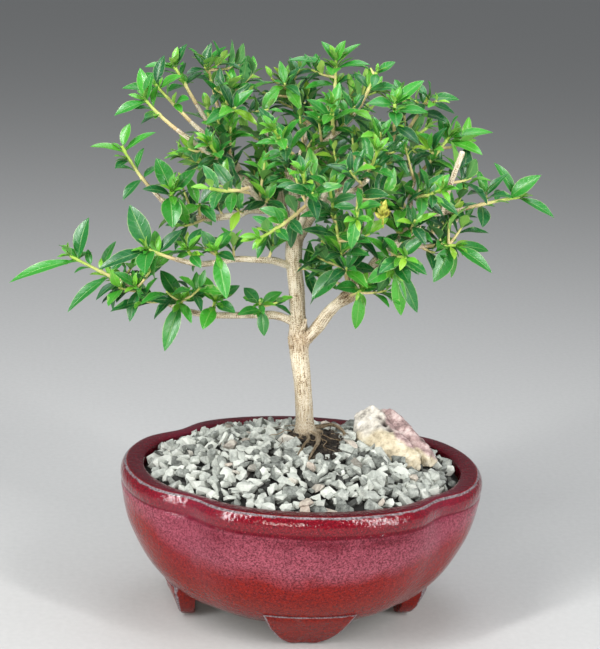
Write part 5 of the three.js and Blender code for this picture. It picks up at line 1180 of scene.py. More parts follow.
def leafy_twig(skin, leaves, stem, rng, width, first=0.4):
    """A twig along a curve through three points, with crossed pairs of leaves that shrink towards its tip."""
    t = np.linspace(0, 1, 7)[:, None]
    age = np.repeat(0.7 - 0.5 * t[:, 0], TWIG_AROUND)
    closed_tube(skin, tube_rings(stem_point(stem, t), 0.85 - 0.3 * t[:, 0], TWIG_AROUND), STEM, age=age,
                u=0.5, v=0.5)
    pairs = 2 if stem_length(stem) < 12 else 3
    turn = rng.random() * math.pi
    for pair in range(pairs + 1):
        at_tip = pair == pairs
        at = first + (1 - first) * pair / pairs
        heading = stem_way(stem, at)
        base = stem_point(stem, at)
        for half in range(2):
            away = outward(heading, turn + pair * math.pi / 2 + half * math.pi + rng.normal(0, 0.2))
            opened = 0.75 if at_tip else 0.95 + 0.4 * rng.random()
            chord = unit(away * math.sin(opened) + heading * math.cos(opened) + UP * LEAF_RISE)
            reach = width * ((1.1 + 0.6 * rng.random()) if at_tip else (1.8 + 0.9 * rng.random()))
            leaves.put_inside(base + away * 0.5, base + chord * reach, leaf_face(heading, base),
                              reach * (0.34 + 0.1 * rng.random()),
                              np.clip(0.8 - 0.45 * pair / pairs + 0.25 * rng.normal(), 0, 1),
                              droop=0.4 + 0.5 * rng.random(), twist=rng.normal(0, 0.25))


def limb_spurs(path, sides, rng):
    """Short leafy spurs every 9 mm or so along a limb, up and out from it, as far as the dome reaches."""
    for k in range(6, len(path) - 2, SPUR_SPACING):
        point = path[min(len(path) - 2, k + int(rng.integers(-2, 3)))]
        if point[2] < LOWEST_SPUR or in_opening(point):
            continue
        tangent = unit(path[k + 1] - path[k])
        out = unit((point - tree_points(DOME_CENTRE - [0, 0, 46])) * [1, 1, 0.8])
        way = unit(out * 0.6 + outward(tangent, rng.random() * 2 * math.pi) * 0.8 + UP * 0.25)
        size = 7 + 11 * rng.random()
        end = point + way * size + UP * 1.5
        if np.linalg.norm((end - tree_points(DOME_CENTRE)) / DOME_RADII) > 0.95:
            continue
        x, y, _ = point
        side = "back" if y > 26 else "left" if x < -24 else "right" if x > 20 else "middle"
        skin, leaves = sides[side]
        stem = np.array([point, point + way * size * 0.5 - UP * 0.5, end])
        leafy_twig(skin, leaves, stem, rng, 5 + 1.5 * rng.random())


def grow_spurs(finishes, shoots):
    """Short leafy spurs on the upper limbs, inside the crown, and twigs that carry the tufts between the
    shoots, each from the nearest wood or stem. They are gathered in pieces by the side of the crown."""
    rng = np.random.default_rng(77)
    sides = {side: (Skin(), Leaves(4000 + k))
             for k, side in enumerate(("left", "middle", "right", "back", "low"))}
    carriers = []
    for name, run in LIMBS.items():
        if name.startswith("root"):
            continue
        path = tree_points(through(run, 1.0)[:, :3])
        carriers.append(path[path[:, 2] > LOWEST_CARRIER])
        if name not in BARE_LIMBS:
            limb_spurs(path, sides, rng)
    for shoot in shoots:
        carriers.append(np.array([stem_point(shoot["stem"], t) for t in np.linspace(0, 0.9, 12)]))
    carriers = np.concatenate(carriers)
    for x, y, z, width in TUFTS:
        end = tree_points([x, y, z])
        off = (carriers - end) * [1, 1, 1.3]
        away = np.linalg.norm(off, axis=1) + 30 * (carriers[:, 2] > end[2] - 2)
        root = carriers[away.argmin()]
        stem = np.array([root, (root + end) / 2 - UP * 0.1 * np.linalg.norm(end - root), end])
        side = "low" if z < 200 else "left" if x < -20 else "right" if x > 20 else "middle"
        skin, leaves = sides[side]
        leafy_twig(skin, leaves, stem, rng, width, 0.55)
    for side, (skin, leaves) in sides.items():
        add_leaves(skin, leaves.table(), FULL_STATIONS[[0, 2, 3, 4, 6]], FULL_SECTION)
        make_piece(skin, f"leafy_spurs_{side}", finishes, sharp=LEAF_SHARP)


def grow_withered_bud(finish):
    """A withered bud in front of the crown: a knot of curled yellow leaves on a short twig."""
    rng = np.random.default_rng(5)
    skin = Skin()
    leaves = Leaves(5000)
    tip = tree_points(WITHERED_BUD)
    stem = np.array([tip + [2, 7, -9], tip + [1, 2, -5], tip])
    t = np.linspace(0, 1, 6)
    closed_tube(skin, tube_rings(np.array([stem_point(stem, k) for k in t]), 0.7 - 0.2 * t, TWIG_AROUND),
                u=0.5, v=0.5)
    for k in range(9):
        way = unit(outward(unit(stem[2] - stem[1]), 2.4 * k) * (0.2 + 0.12 * k) + UP * 0.9)
        reach = 4 + 3 * rng.random()
        base = stem_point(stem, 1 - 0.04 * k)
        leaves.put_inside(base, base + way * reach, FRONT, reach * 0.42, rng.random(), droop=1.3, fold=0.6,
                          twist=0.6)
    add_leaves(skin, leaves.table(), SMALL_STATIONS, SMALL_SECTION)
    make_piece(skin, "leafy_withered_bud", [finish, finish], sharp=LEAF_SHARP)


# Wood: the limb ends that were cut, which stay flat and pale
CUT_ENDS = ("backStub", "rightStub", "greyRiser", "sideStub", "lowRight", "middleLimb")
# Its callus knobs, as [x, y, z, radius] in the tree's frame
KNOBS = [[-13, 3, 238, 6], [-46, -1, 236, 5], [47, -22, 216, 4], [18, -6, 177, 4.5], [-6, 10, 147, 6.5],
         [-11, 10, 200, 5]]
# Its small twigs and the wiry roots at its foot, as the limbs are listed
EXTRA_TWIGS = {
    "forkTwig": [[-6.5, 8, 150, 1.5], [-4, 4, 156, 1.2], [-3.4, 2, 160, 1.0]],
    "riserTwig": [[19, -8, 178, 1.4], [17, -13, 181, 1.2], [16, -15, 184, 1.0]],
    "wireLong": [
        [4, 6, 97.6, 1.4], [7, 1, 97.6, 1.3], [7, -8, 97.2, 1.0], [5, -17, 96.4, 0.8], [3, -25, 94.6, 0.6],
        [2, -29, 92, 0.5],
    ],
    "wireShort": [
        [1, 5, 97.4, 1.1], [2, -3, 97.0, 0.9], [0, -11, 96.6, 0.7], [-2, -19, 95.6, 0.6],
        [-4, -25, 94.2, 0.5], [-5, -28, 92, 0.5],
    ],
    "lowTwig": [[-92, 1, 172, 0.9], [-93, -3, 177, 0.8], [-93, -4, 180, 0.7]],
}
TRUNK_FOOT = [0, 10, 96]
WOOD_STEP = 1.2
WOOD_GRAIN = 0.54
ROOT_SLIMNESS = 0.82


def knob_skin(skin, x, y, z, size):
    """A callus knob as an upright ball: r = 0.72 size √(1 - h²), at 0.8 size h above its middle."""
    h = np.linspace(-0.97, 0.97, 9)
    middle = np.stack([np.zeros(9), np.zeros(9), h * size * 0.8], axis=1) + tree_points([x, y, z])
    closed_tube(skin, tube_rings(middle, size * 0.72 * np.sqrt(1 - h ** 2), LIMB_AROUND))


def limb_places(points, lines):
    """For each point of the wood, its offset from the nearest limb's middle line and its place along it."""
    nearest = np.full(len(points), 1e9)
    spoke = np.zeros_like(points)
    run = np.zeros(len(points))
    for number, (path, radius) in enumerate(lines):
        low, high = path.min(axis=0) - 9, path.max(axis=0) + 9
        near = np.flatnonzero(np.all((points > low) & (points < high), axis=1))
        if not len(near):
            continue
        far = np.linalg.norm(points[near, None] - path[None], axis=2)
        closest = far.argmin(axis=1)
        gap = far[np.arange(len(near)), closest] - radius[closest]
        better = gap < nearest[near]
        chosen = near[better]
        nearest[chosen] = gap[better]
        spoke[chosen] = points[chosen] - path[closest[better]]
        run[chosen] = closest[better] * WOOD_STEP + 37 * number
    return spoke, run


def cut_share(points):
    """1 on the cut ends of limbs, 0 elsewhere."""
    cut = np.zeros(len(points))
    for name in CUT_ENDS:
        ends = tree_points(np.array(LIMBS[name][-2:])[:, :3])
        way = unit(ends[1] - ends[0])
        ahead = (points - ends[1]) @ way
        away = np.linalg.norm(points - ends[1], axis=1)
        cut = np.maximum(cut, np.clip((ahead + 0.55) / 0.3, 0, 1) * (away < LIMBS[name][-1][3] + 1.6))
    return cut


def make_wood(finish):
    """The wood: a round tube along a curve through the points of each limb, all fused into one skin, then
    raised along its normals by noise n from -1 to 1: furrows, 0.26 n(round, slow run), flakes, 0.5 n(round,
    run) with n kept from 0 to 0.35, grit, 0.1 n(point), and on the knobs 0.8 n + 0.4 n more."""
    skin = Skin()
    lines = []
    for name, run in {**LIMBS, **EXTRA_TWIGS}.items():
        rows = through(run, WOOD_STEP)
        path, radius = tree_points(rows[:, :3]), rows[:, 3] * 1.03 + 0.06
        if name.startswith("root"):
            radius = radius * ROOT_SLIMNESS
        closed_tube(skin, tube_rings(path, radius, TRUNK_AROUND if name == "trunk" else LIMB_AROUND))
        lines.append((path, radius))
    for knob in KNOBS:
        knob_skin(skin, *knob)
    piece = make_piece(skin, "serissa_wood", [finish], ["wood"])
    fuse(piece, WOOD_GRAIN)
    mesh = piece.data
    points, normals = points_of(mesh)
    spoke, run = limb_places(points, lines)
    knob = np.zeros(len(points))
    for x, y, z, size in KNOBS:
        away = np.linalg.norm(points - tree_points([x, y, z]), axis=1)
        knob = np.maximum(knob, np.clip(1.5 - away / size, 0, 1))
    cut = cut_share(points)
    thick = np.clip(np.linalg.norm(spoke, axis=1) / 3.5, 0.25, 1)
    furrow = noise(np.concatenate([spoke, run[:, None] * 0.07], axis=1), 1.1, 5)
    flake = np.clip(noise(np.concatenate([spoke, run[:, None] * 0.16], axis=1), 1.9, 7), 0, 0.35)
    relief = 0.26 * furrow * thick + 0.1 * noise(points, 0.9, 6)
    relief = relief + 0.5 * flake * thick + knob * (0.8 * noise(points, 2.2, 8) + 0.4 * noise(points, 1.0, 9))
    move_points(mesh, points + normals * (relief * (1 - cut))[:, None])
    # the bark is dark near the ground, and darkest on the roots beside the trunk
    foot = tree_points(TRUNK_FOOT)
    height = points[:, 2]
    beside = np.clip((np.hypot(points[:, 0] - foot[0], points[:, 1] - foot[1]) - 5.2) / 3, 0, 1)
    low = np.clip((128 - height) / 32, 0, 1) + 0.4 * beside * (height < 106)
    for key, value in (("spoke", spoke), ("run", run), ("cut", cut), ("knob", knob), ("low", low)):
        add_value(mesh, key, value)
    return piece


# Pot and what fills it: the share of the notches that the wall inside the lip keeps
INNER_NOTCH = 0.45
# The pot's profile from the middle of its underside, over the rim, to the middle of its floor, as
# [share of the plan, inset, share of the notches, height]
POT_PROFILE = [
    [0.02, 0, 0.3, FLOOR_UNDERSIDE], [0.3, 0, 0.3, FLOOR_UNDERSIDE], [0.56, 0, 0.3, FLOOR_UNDERSIDE],
    [0.603, 0, 0.3, 13.2], [0.625, 0, 0.31, 14.3], [0.73, 0, 0.4, 20.5], [0.85, 0, 0.45, 33.5],
    [0.94, 0, 0.5, 50], [0.974, 0, 0.58, 60], [0.991, 0, 0.78, 68.5], [0.9955, 0, 0.9, 71.6],
    [0.992, 0, 0.95, 73.0], [0.9915, 0, 0.96, 73.6], [0.998, 0, 1, 75.2], [1.0, 0, 1, 77.2],
    [1, 0.2, 1, 78.8], [1, 0.8, 1, 80.4], [1, 1.7, 0.99, 81.8], [1, 2.6, 0.97, 82.6], [1, 3.8, 0.93, 82.9],
    [1, 6, 0.77, 82.95], [1, 9.4, 0.52, 82.7], [1, 11.2, 0.46, 82.2],
    *[[share, LIP_WIDTH, INNER_NOTCH, height] for share, height in (
        (1, 80.8), (1, 74), (1, 65), (0.945, 52), (0.86, 38), (0.75, 28.5), (0.62, 21), (0.5, FLOOR_TOP),
        (0.3, FLOOR_TOP), (0.14, FLOOR_TOP))],
]
POT_AROUND = 320
# The feet, as [turn from the front, reach of the toe, reach of the top, bow of the face]
FEET = [
    [0, FRONT_FOOT_REACH, 60.0, 3.2], [math.pi, FRONT_FOOT_REACH, 60.0, 3.2],
    [math.pi / 2, END_FOOT_REACH, 72.0, 5.9], [-math.pi / 2, END_FOOT_REACH, 72.0, 5.9],
]
FOOT_HALF = FOOT_TOP_WIDTH / 2 + 1
FOOT_HEIGHT = FLOOR_UNDERSIDE + 9.5
# The height over which a foot's face leans by FOOT_LEAN
LEANING_HEIGHT = 19.5
# How worn the glaze is on a foot's edges, as [depth, wear]
FOOT_WEAR = np.array([[0, 0.35], [0.3, 0.85], [1, 0.95], [2.2, 0.6], [3, 0]])
# Where the glaze is worn off the rim, as [inset, share of the notches, height], and where its band starts
WORN_RIM = [2.3, 0.97, 82.3]
BAND_START = 72.5
# Inside which share of the plan the clay is bare, as [height, share]
BARE_CLAY = np.array([[12, 0.6], [13.1, 0.6], [20, 0.58], [33, 0.7], [50, 0.82], [65, 0.88]])
# A foot's section from its face to its back, as [depth, share of its outline]
FOOT_SECTION = np.array([
    [0, 0.4], [0, 0.9], [0.3, 0.95], [1.0, 0.985], [2.2, 1], [6, 1], [10, 1], [FOOT_THICKNESS - 0.8, 0.98],
    [FOOT_THICKNESS, 0.9], [FOOT_THICKNESS, 0.5]])


def plan_point(t, scale, inset, notch):
    """The pot's plan: an ellipse in its angle t, drawn in at the corners between its lobes by
    1 - notch exp(-(corner / spread)²)."""
    corner = np.abs(t % (math.pi / 2) - math.pi / 4)
    draw_in = 1 - NOTCH_DEPTH * notch * np.exp(-(corner / NOTCH_SPREAD) ** 2)
    return ((POT_HALF_LENGTH * scale - inset) * draw_in * np.cos(t),
            (POT_HALF_WIDTH * scale - inset) * draw_in * np.sin(t))


def foot_outline():
    """A foot seen from its front: a narrow toe and quadratic flanks that spread to its straight top."""
    half, toe = FOOT_HALF, FOOT_BOTTOM_WIDTH / 2
    a = np.linspace(0, 1, 14)[:, None]
    flank = (1 - a) ** 2 * [toe, 0] + 2 * a * (1 - a) * [half * 0.68, 2.6] + a * a * [half, FOOT_HEIGHT]
    sole = np.stack([np.linspace(-toe, toe, 8)[1:-1], np.zeros(6)], axis=1)
    level = np.stack([np.linspace(half, -half, 16)[1:-1], np.full(14, FOOT_HEIGHT)], axis=1)
    return np.vstack([sole, flank, level, (flank * [-1, 1])[::-1]])


def add_foot(skin, towards, reach, over, bow):
    """A bracket foot: its outline carried through its thickness, drawn in at both ends to round its edges.
    Its face leans in from its top, which stands over the wall, to its toe, and bows back at its sides."""
    half, top = FOOT_HALF, FOOT_HEIGHT
    lean = FOOT_LEAN * LEANING_HEIGHT / top + (over - reach) / top
    outline = foot_outline()
    middle = np.array([0, top * 0.62])
    rings = []
    for back, share in FOOT_SECTION:
        ring = middle + (outline - middle) * share
        ring[:, 1] = np.maximum(ring[:, 1], 0)
        y = -over + back + (top - ring[:, 1]) * lean * (1 - back / (2 * FOOT_THICKNESS))
        y = y + bow * (ring[:, 0] / half) ** 2 * ring[:, 1] / top + 0.35 * noise(ring, 4.0, int(reach))
        rings.append(np.stack([ring[:, 0], y, ring[:, 1]], axis=1))
    x, y, z = np.moveaxis(np.array(rings)[:, ::-1], -1, 0)
    depth, share = FOOT_SECTION.T
    worn = np.interp(depth, *FOOT_WEAR.T) * (share > 0.8)
    c, s = math.cos(towards), math.sin(towards)
    closed_tube(skin, np.stack([c * x - s * y, s * x + c * y, z], axis=-1),
                edge=np.repeat(worn, len(outline)), foot=1.0)


def cut_drains(piece):
    """Cuts the two round drain holes through the pot's floor."""
    for side in (-1, 1):
        middle = (SHIFT + [side * DRAIN_OFFSET, 0, (FLOOR_UNDERSIDE + FLOOR_TOP) / 2]) * MM
        made = bmesh.new()
        bmesh.ops.create_cone(made, cap_ends=True, segments=48, radius1=DRAIN_RADIUS * MM,
                              radius2=DRAIN_RADIUS * MM, depth=30 * MM, matrix=Matrix.Translation(middle))
        mesh = bpy.data.meshes.new("drain")
        made.to_mesh(mesh)
        made.free()
        drain = bpy.data.objects.new("drain", mesh)
        bpy.context.scene.collection.objects.link(drain)
        cut = piece.modifiers.new("cut", "BOOLEAN")
        cut.object = drain
        cut.operation = "DIFFERENCE"
        cut.solver = "EXACT"
        settle(piece)
        bpy.data.objects.remove(drain)


def waver_at(points):
    """How far hand work has pushed the wall out at a point."""
    return noise(points, 34, 21)[..., None] * 0.35 + noise(points, 13, 22)[..., None] * 0.1


def make_bowl(finishes):
    """The bowl: its profile carried round the lobed plan, with the slight waver of hand work on its wall."""
    rows = through([[height, share * 60, inset, notch, share] for share, inset, notch, height in POT_PROFILE],
                   1.6)
    height, _, inset, notch, share = (column[:, None] for column in rows.T)
    x, y = plan_point(full_turn(POT_AROUND)[None], share, inset, notch)
    z = np.broadcast_to(height, x.shape)
    rings = np.stack([x, y, z], axis=-1)
    rings = rings + unit(rings * [1, 1, 0]) * waver_at(rings) * np.clip((z[..., None] - 18) / 20, 0, 1)
    bowl = Skin()
    closed_tube(bowl, rings)
    piece = make_piece(bowl, "mokko_pot", finishes, ["pot"])
    cut_drains(piece)
    return piece


def join_feet(mesh, finishes):
    """Adds the four feet to the bowl's mesh."""
    skin = Skin()
    for foot in FEET:
        add_foot(skin, *foot)
    feet = make_piece(skin, "feet", finishes)
    joined = bmesh.new()
    joined.from_mesh(mesh)
    joined.from_mesh(feet.data)
    bpy.data.objects.remove(feet)
    joined.to_mesh(mesh)
    joined.free()


def mark_glaze(mesh):
    """What the glaze reads at each point: rim, 1 on the worn edges; notch_shade, 1 in the corners between the
    lobes, where painted shade with a purple sheen goes; and level, from the foot to the band under the rim,
    and below 0 on the lip."""
    points, _ = points_of(mesh)
    x, y, z = points.T
    angle = np.arctan2(y / POT_HALF_WIDTH, x / POT_HALF_LENGTH)
    corner = np.abs(angle % (math.pi / 2) - math.pi / 4)
    edge_x, edge_y = plan_point(angle, 1, *WORN_RIM[:2])
    beyond = np.hypot(x, y) - np.hypot(edge_x, edge_y) - waver_at(points)[:, 0]
    off = np.hypot(beyond, z - WORN_RIM[2])
    edge, foot = (values_of(mesh.attributes[key].data, "value", 1)[:, 0] for key in ("edge", "foot"))
    for key in ("edge", "foot"):
        mesh.attributes.remove(mesh.attributes[key])
    band = np.clip((z - BAND_START) / 2, 0, 1)
    on_lip = (beyond < -0.6) & (z > 60)
    # the ends of the belly are redder than its middle
    redder = 0.14 * np.clip((x - 40) / 40, 0, 1) + 0.16 * np.clip((-50 - x) / 35, 0, 1)
    # level picks the glaze's zones, whose pink middle and orange low belly are partly painted reflection
    level = np.where(on_lip, -0.4, np.clip(z / 110, 0, 0.62) + 0.3 * band - redder * (1 - band))
    add_value(mesh, "rim", np.maximum(np.exp(-(off / 1.2) ** 2), edge * 0.9))
    # painted shade with a purple sheen in the corners between the lobes, from nothing at 30 mm up to full at
    # 60 mm
    add_value(mesh, "notch_shade", np.exp(-(corner / 0.24) ** 2) * np.clip((z - 30) / 30, 0, 1))
    add_value(mesh, "level", np.where(foot > 0.5, 0.2, level))


def bare_faces(mesh):
    """Which faces lie in the pot under its lip, or on its underside, where the clay was left bare."""
    x, y, z = (values_of(mesh.polygons, "center", 3) / MM - SHIFT).T
    inside = np.hypot(x / (POT_HALF_LENGTH - 9), y / (POT_HALF_WIDTH - 9)) < 1
    wall = np.interp(z, *BARE_CLAY.T)
    return inside & (z > 12) & (z < 76) & (np.hypot(x / POT_HALF_LENGTH, y / POT_HALF_WIDTH) < wall)


def make_pot(glaze, clay):
    """The pot: the bowl and its feet, glazed outside and on its lip, and bare inside and below."""
    piece = make_bowl([glaze, clay])
    mesh = piece.data
    join_feet(mesh, [glaze, clay])
    mark_glaze(mesh)
    mesh.polygons.foreach_set("material_index", bare_faces(mesh).astype(np.int32))
    mesh.polygons.foreach_set("use_smooth", np.ones(len(mesh.polygons), bool))
    mesh.set_sharp_from_angle(angle=math.radians(POT_SHARP))
    mesh.update()
    return piece


def gravel_height(x, y):
    """A mound, highest about the trunk: edge + crown (1 - reach^2.4)."""
    reach = np.hypot(x / (POT_HALF_LENGTH - LIP_WIDTH), y / (POT_HALF_WIDTH - LIP_WIDTH))
    return GRAVEL_EDGE_HEIGHT + GRAVEL_CROWN * (1 - np.minimum(1, reach) ** 2.4)


def hull(points):
    """The convex hull of points: its corners and its triangles, facing outwards."""
    made = bmesh.new()
    for point in points:
        made.verts.new(point)
    bmesh.ops.convex_hull(made, input=made.verts)
    loose = [vert for vert in made.verts if not vert.link_faces]
    bmesh.ops.delete(made, geom=loose, context="VERTS")
    bmesh.ops.recalc_face_normals(made, faces=made.faces)
    bmesh.ops.triangulate(made, faces=made.faces)
    made.verts.index_update()
    corners = np.array([vert.co[:] for vert in made.verts])
    faces = np.array([[vert.index for vert in face.verts] for face in made.faces])
    made.free()
    return corners, faces


def chip_shapes(rng, count):
    """Broken chips: hulls of a dozen points on a stretched ball, pushed out to its corners."""
    shapes = []
    for _ in range(count):
        points = unit(rng.normal(0, 1, (14, 3)))
        points = np.sign(points) * np.abs(points) ** 0.75
        shapes.append(hull(points / np.abs(points).max(axis=0)))
    return shapes


def turns(rng, count, tilt):
    """Turning matrices: any turn about the upright, after a random tilt of that spread."""
    a, b, c = rng.random(count) * 2 * math.pi, rng.normal(0, tilt, count), rng.normal(0, tilt, count)
    zero, one = np.zeros(count), np.ones(count)
    about_z = np.array([[np.cos(a), -np.sin(a), zero], [np.sin(a), np.cos(a), zero], [zero, zero, one]])
    about_x = np.array([[one, zero, zero], [zero, np.cos(b), -np.sin(b)], [zero, np.sin(b), np.cos(b)]])
    about_y = np.array([[np.cos(c), zero, np.sin(c)], [zero, one, zero], [-np.sin(c), zero, np.cos(c)]])
    return np.einsum("ijn,jkn,kln->nil", about_z, about_x, about_y)


def scatter(skin, shapes, centres, sizes, matrices, **values):
    """Copies of the shapes, each stretched, turned and set down; the n-th takes shape n mod their number."""
    for k, (corners, faces) in enumerate(shapes):
        pick = np.arange(k, len(centres), len(shapes))
        if not len(pick):
            continue
        points = np.einsum("nij,npj->npi", matrices[pick], corners[None] * sizes[pick, None])
        points = points + centres[pick, None]
        offset = (np.arange(len(pick)) * len(corners))[:, None, None]
        skin.add(points, [((faces[None] + offset).reshape(-1, 3), 0)],
                 **{name: np.repeat(value[pick], len(corners)) for name, value in values.items()})


def lump_planes(corners):
    """A lump's middle and its face planes, as outward normals and distances from the middle."""
    points, faces = hull(tree_points(corners))
    middle = points.mean(axis=0)
    a, b, c = (points[faces[:, k]] for k in range(3))
    normals = unit(np.cross(b - a, c - a))
    return middle, normals, dot(normals, a - middle)[:, 0]


def inside_stone(points, margin):
    """Whether each point lies in the accent stone, let out by a margin."""
    found = np.zeros(len(points), bool)
    for middle, normals, distances in (lump_planes(CREAM_LUMP), lump_planes(PINK_LUMP)):
        found |= np.all((points - middle) @ normals.T < distances + margin, axis=1)
    return found


# The patch of bare soil about the foot of the trunk: its middle in the tree's frame and its radii
BARE_MIDDLE = [6, 3, 96]
BARE_RADII = [18, 23]
# The layers of chips, from the lowest, as [depth, pitch of their net, least size, greatest size]
CHIP_LAYERS = [[3.2, 6.2, 2.5, 3.6], [0.8, 5.9, 2.3, 4.3], [-0.6, 8.4, 2.0, 3.9]]
# Half the plan that the nets of chips cover, and the step between a net's rows as a share of its pitch
NET_REACH = [90, 75]
NET_ROW = 0.87
# How deep under the gravel's surface the bed lies, painted nearly black as the shade in the gaps, and its
# underside
BED_DEPTH, BED_UNDERSIDE = 2.6, 7.4
# The bare soil's rise over the gravel in its middle, its fall towards its edge and its underside
SOIL_RISE, SOIL_FALL, SOIL_UNDERSIDE = 0.7, 2.6, 5
# The hollows along the stone's seam, darkened with painted shade, as [x, y, z, radius, depth] in the tree's
# frame
STONE_DENTS = [
    [39, 17, 106, 2.0, 3.5], [42, 15, 103, 2.4, 5.0], [45, 12, 100, 2.8, 5.5], [48, 9, 97, 2.4, 4.5],
]
STONE_GRAIN = 0.55
CRUMBS = 760
WIRY_ROOTS = 20


def bare_soil(x, y):
    """0 in the middle of the patch of bare soil about the foot of the trunk, 1 at its edge."""
    middle = tree_points(BARE_MIDDLE)
    return np.hypot((x - middle[0]) / BARE_RADII[0], (y - middle[1]) / BARE_RADII[1])


def make_gravel(finish):
    """The gravel: layers of broken chips on a jittered net over the mound, over a bed painted dark as shade.
    """
    rng = np.random.default_rng(11)
    skin = Skin()
    rings = np.linspace(0.02, 1, 34)[:, None]
    x, y = plan_point(full_turn(120)[None], 1, LIP_WIDTH + 0.7, INNER_NOTCH)
    x, y = x * rings, y * rings
    top = np.stack([x, y, gravel_height(x, y) - BED_DEPTH], axis=-1)
    top[..., 2] += 0.9 * noise(top, 3.1, 31)
    bottom = top[::-1].copy()
    bottom[..., 2] = gravel_height(bottom[..., 0], bottom[..., 1]) - BED_UNDERSIDE
    # the bed under the chips, painted nearly black as the shade in their gaps
    closed_tube(skin, np.concatenate([bottom, top])[::-1][:, ::-1], deep=1.0, tone=0.2, warm=0.0)
    for sink, pitch, small, large in CHIP_LAYERS:
        columns, rows = np.meshgrid(np.arange(-NET_REACH[0], NET_REACH[0], pitch),
                                    np.arange(-NET_REACH[1], NET_REACH[1], pitch * NET_ROW))
        spots = np.stack([columns.ravel(), rows.ravel()], axis=1)
        spots[:, 0] += (np.round(spots[:, 1] / (pitch * NET_ROW)) % 2) * pitch / 2
        spots = spots + rng.uniform(-0.36, 0.36, spots.shape) * pitch
        angle = np.arctan2(spots[:, 1] / POT_HALF_WIDTH, spots[:, 0] / POT_HALF_LENGTH)
        wall_x, wall_y = plan_point(angle, 1, LIP_WIDTH, INNER_NOTCH)
        size = rng.uniform(small, large, len(spots)) * np.where(rng.random(len(spots)) < 0.12, 1.25, 1)
        room = np.hypot(wall_x, wall_y) - np.hypot(*spots.T) > size * 0.95
        height = gravel_height(*spots.T) - sink - 0.2 + rng.uniform(-1.1, 0.9, len(spots))
        centres = np.column_stack([spots, height])
        clear = bare_soil(*spots.T) > 0.66 + 0.34 * rng.random(len(spots))
        keep = room & clear & ~inside_stone(centres, 2.2 if sink < 1 else -0.5)
        centres, size = centres[keep], size[keep]
        count = len(centres)
        stretch = np.column_stack([size * rng.uniform(least, most, count)
                                   for least, most in ((1.0, 1.5), (0.68, 0.95), (0.46, 0.72))])
        warm = (rng.random(count) < 0.04) * rng.uniform(0.2, 0.7, count)
        # the lowest layer lies buried and is painted darker as the shade between the chips above it
        buried = sink > 1
        scatter(skin, chip_shapes(rng, 24), centres, stretch, turns(rng, count, 0.62), warm=warm,
                tone=rng.uniform(0.0, 0.46, count) - 0.05 * buried, deep=0.8 * np.full(count, buried))
    return make_piece(skin, "gravel_chips", [finish], ["gravel"], sharp=STONE_SHARP)


def make_stone(finish):
    """The accent stone: each lump is the distance from its middle to its nearest face plane in every
    direction, softened as (Σ h^-40)^(-1/40); the two are fused, roughened by noise, cut by fine ledges and
    dented along the seam. It is pink past the seam, and buff low in front."""
    skin = Skin()
    lumps = [lump_planes(corners) for corners in (CREAM_LUMP, PINK_LUMP)]
    for middle, normals, distances in lumps:
        polar = np.linspace(0.02, math.pi - 0.02, 60)[:, None]
        a = full_turn(90)[None]
        way = np.stack(np.broadcast_arrays(np.sin(polar) * np.cos(a), np.sin(polar) * np.sin(a),
                                           -np.cos(polar)), axis=-1)
        facing = np.maximum(way @ normals.T, 1e-3) / distances
        reach = np.sum(facing ** 40, axis=-1) ** (-1 / 40)
        closed_tube(skin, middle + way * reach[..., None] * 1.02)
    piece = make_piece(skin, "accent_rock", [finish], ["accent_stone"])
    fuse(piece, STONE_GRAIN)
    mesh = piece.data
    points, normals = points_of(mesh)
    relief = 0.5 * noise(points, 7, 41) + 0.4 * noise(points, 2.4, 42) + 0.3 * noise(points, 1.1, 43)
    ledges = np.abs(noise(points * [1, 1, 2.2], 5, 44))
    relief = relief - 0.4 * np.exp(-(ledges / 0.1) ** 2)
    # painted shade: the hollows along the seam are darkened
    hollow_shade = np.zeros(len(points))
    for x, y, z, size, depth in STONE_DENTS:
        away = np.linalg.norm(points - tree_points([x, y, z]), axis=1)
        relief = relief - depth * np.exp(-(away / size) ** 2)
        hollow_shade = np.maximum(hollow_shade, np.exp(-(away / size) ** 4))
    move_points(mesh, points + normals * relief[:, None] * 0.8)
    # and faint painted shade along the ledges
    hollow_shade = np.maximum(hollow_shade, 0.2 * np.exp(-(ledges / 0.06) ** 2))
    x, y, z = in_tree_frame(points).T
    rise = z + 0.27 * (y - 8)
    # how far a point lies past the seam, which has a steep stretch and a level one
    past_seam = np.minimum(0.87 * (x - 39) - 0.49 * (113 - rise), 0.89 * (rise - 97) + 0.45 * (x - 48))
    past_seam = past_seam + 1.2 * noise(points, 4, 45)
    in_front = 14 - y + 0.6 * (99 - z) + 3 * noise(points, 6, 46)
    add_value(mesh, "pink", np.clip(past_seam / 1.6 + 0.5, 0, 1))
    add_value(mesh, "buff", np.clip(in_front / 5, 0, 1))
    add_value(mesh, "hollow_shade", hollow_shade)
    return piece


def bare_place(share, angle):
    """A place in the patch of bare soil, at that share of its radii, and the height of the soil there."""
    middle = tree_points(BARE_MIDDLE)
    x = middle[0] + BARE_RADII[0] * share * np.cos(angle)
    y = middle[1] + BARE_RADII[1] * share * np.sin(angle)
    return x, y, gravel_height(x, y) + SOIL_RISE - SOIL_FALL * share ** 4


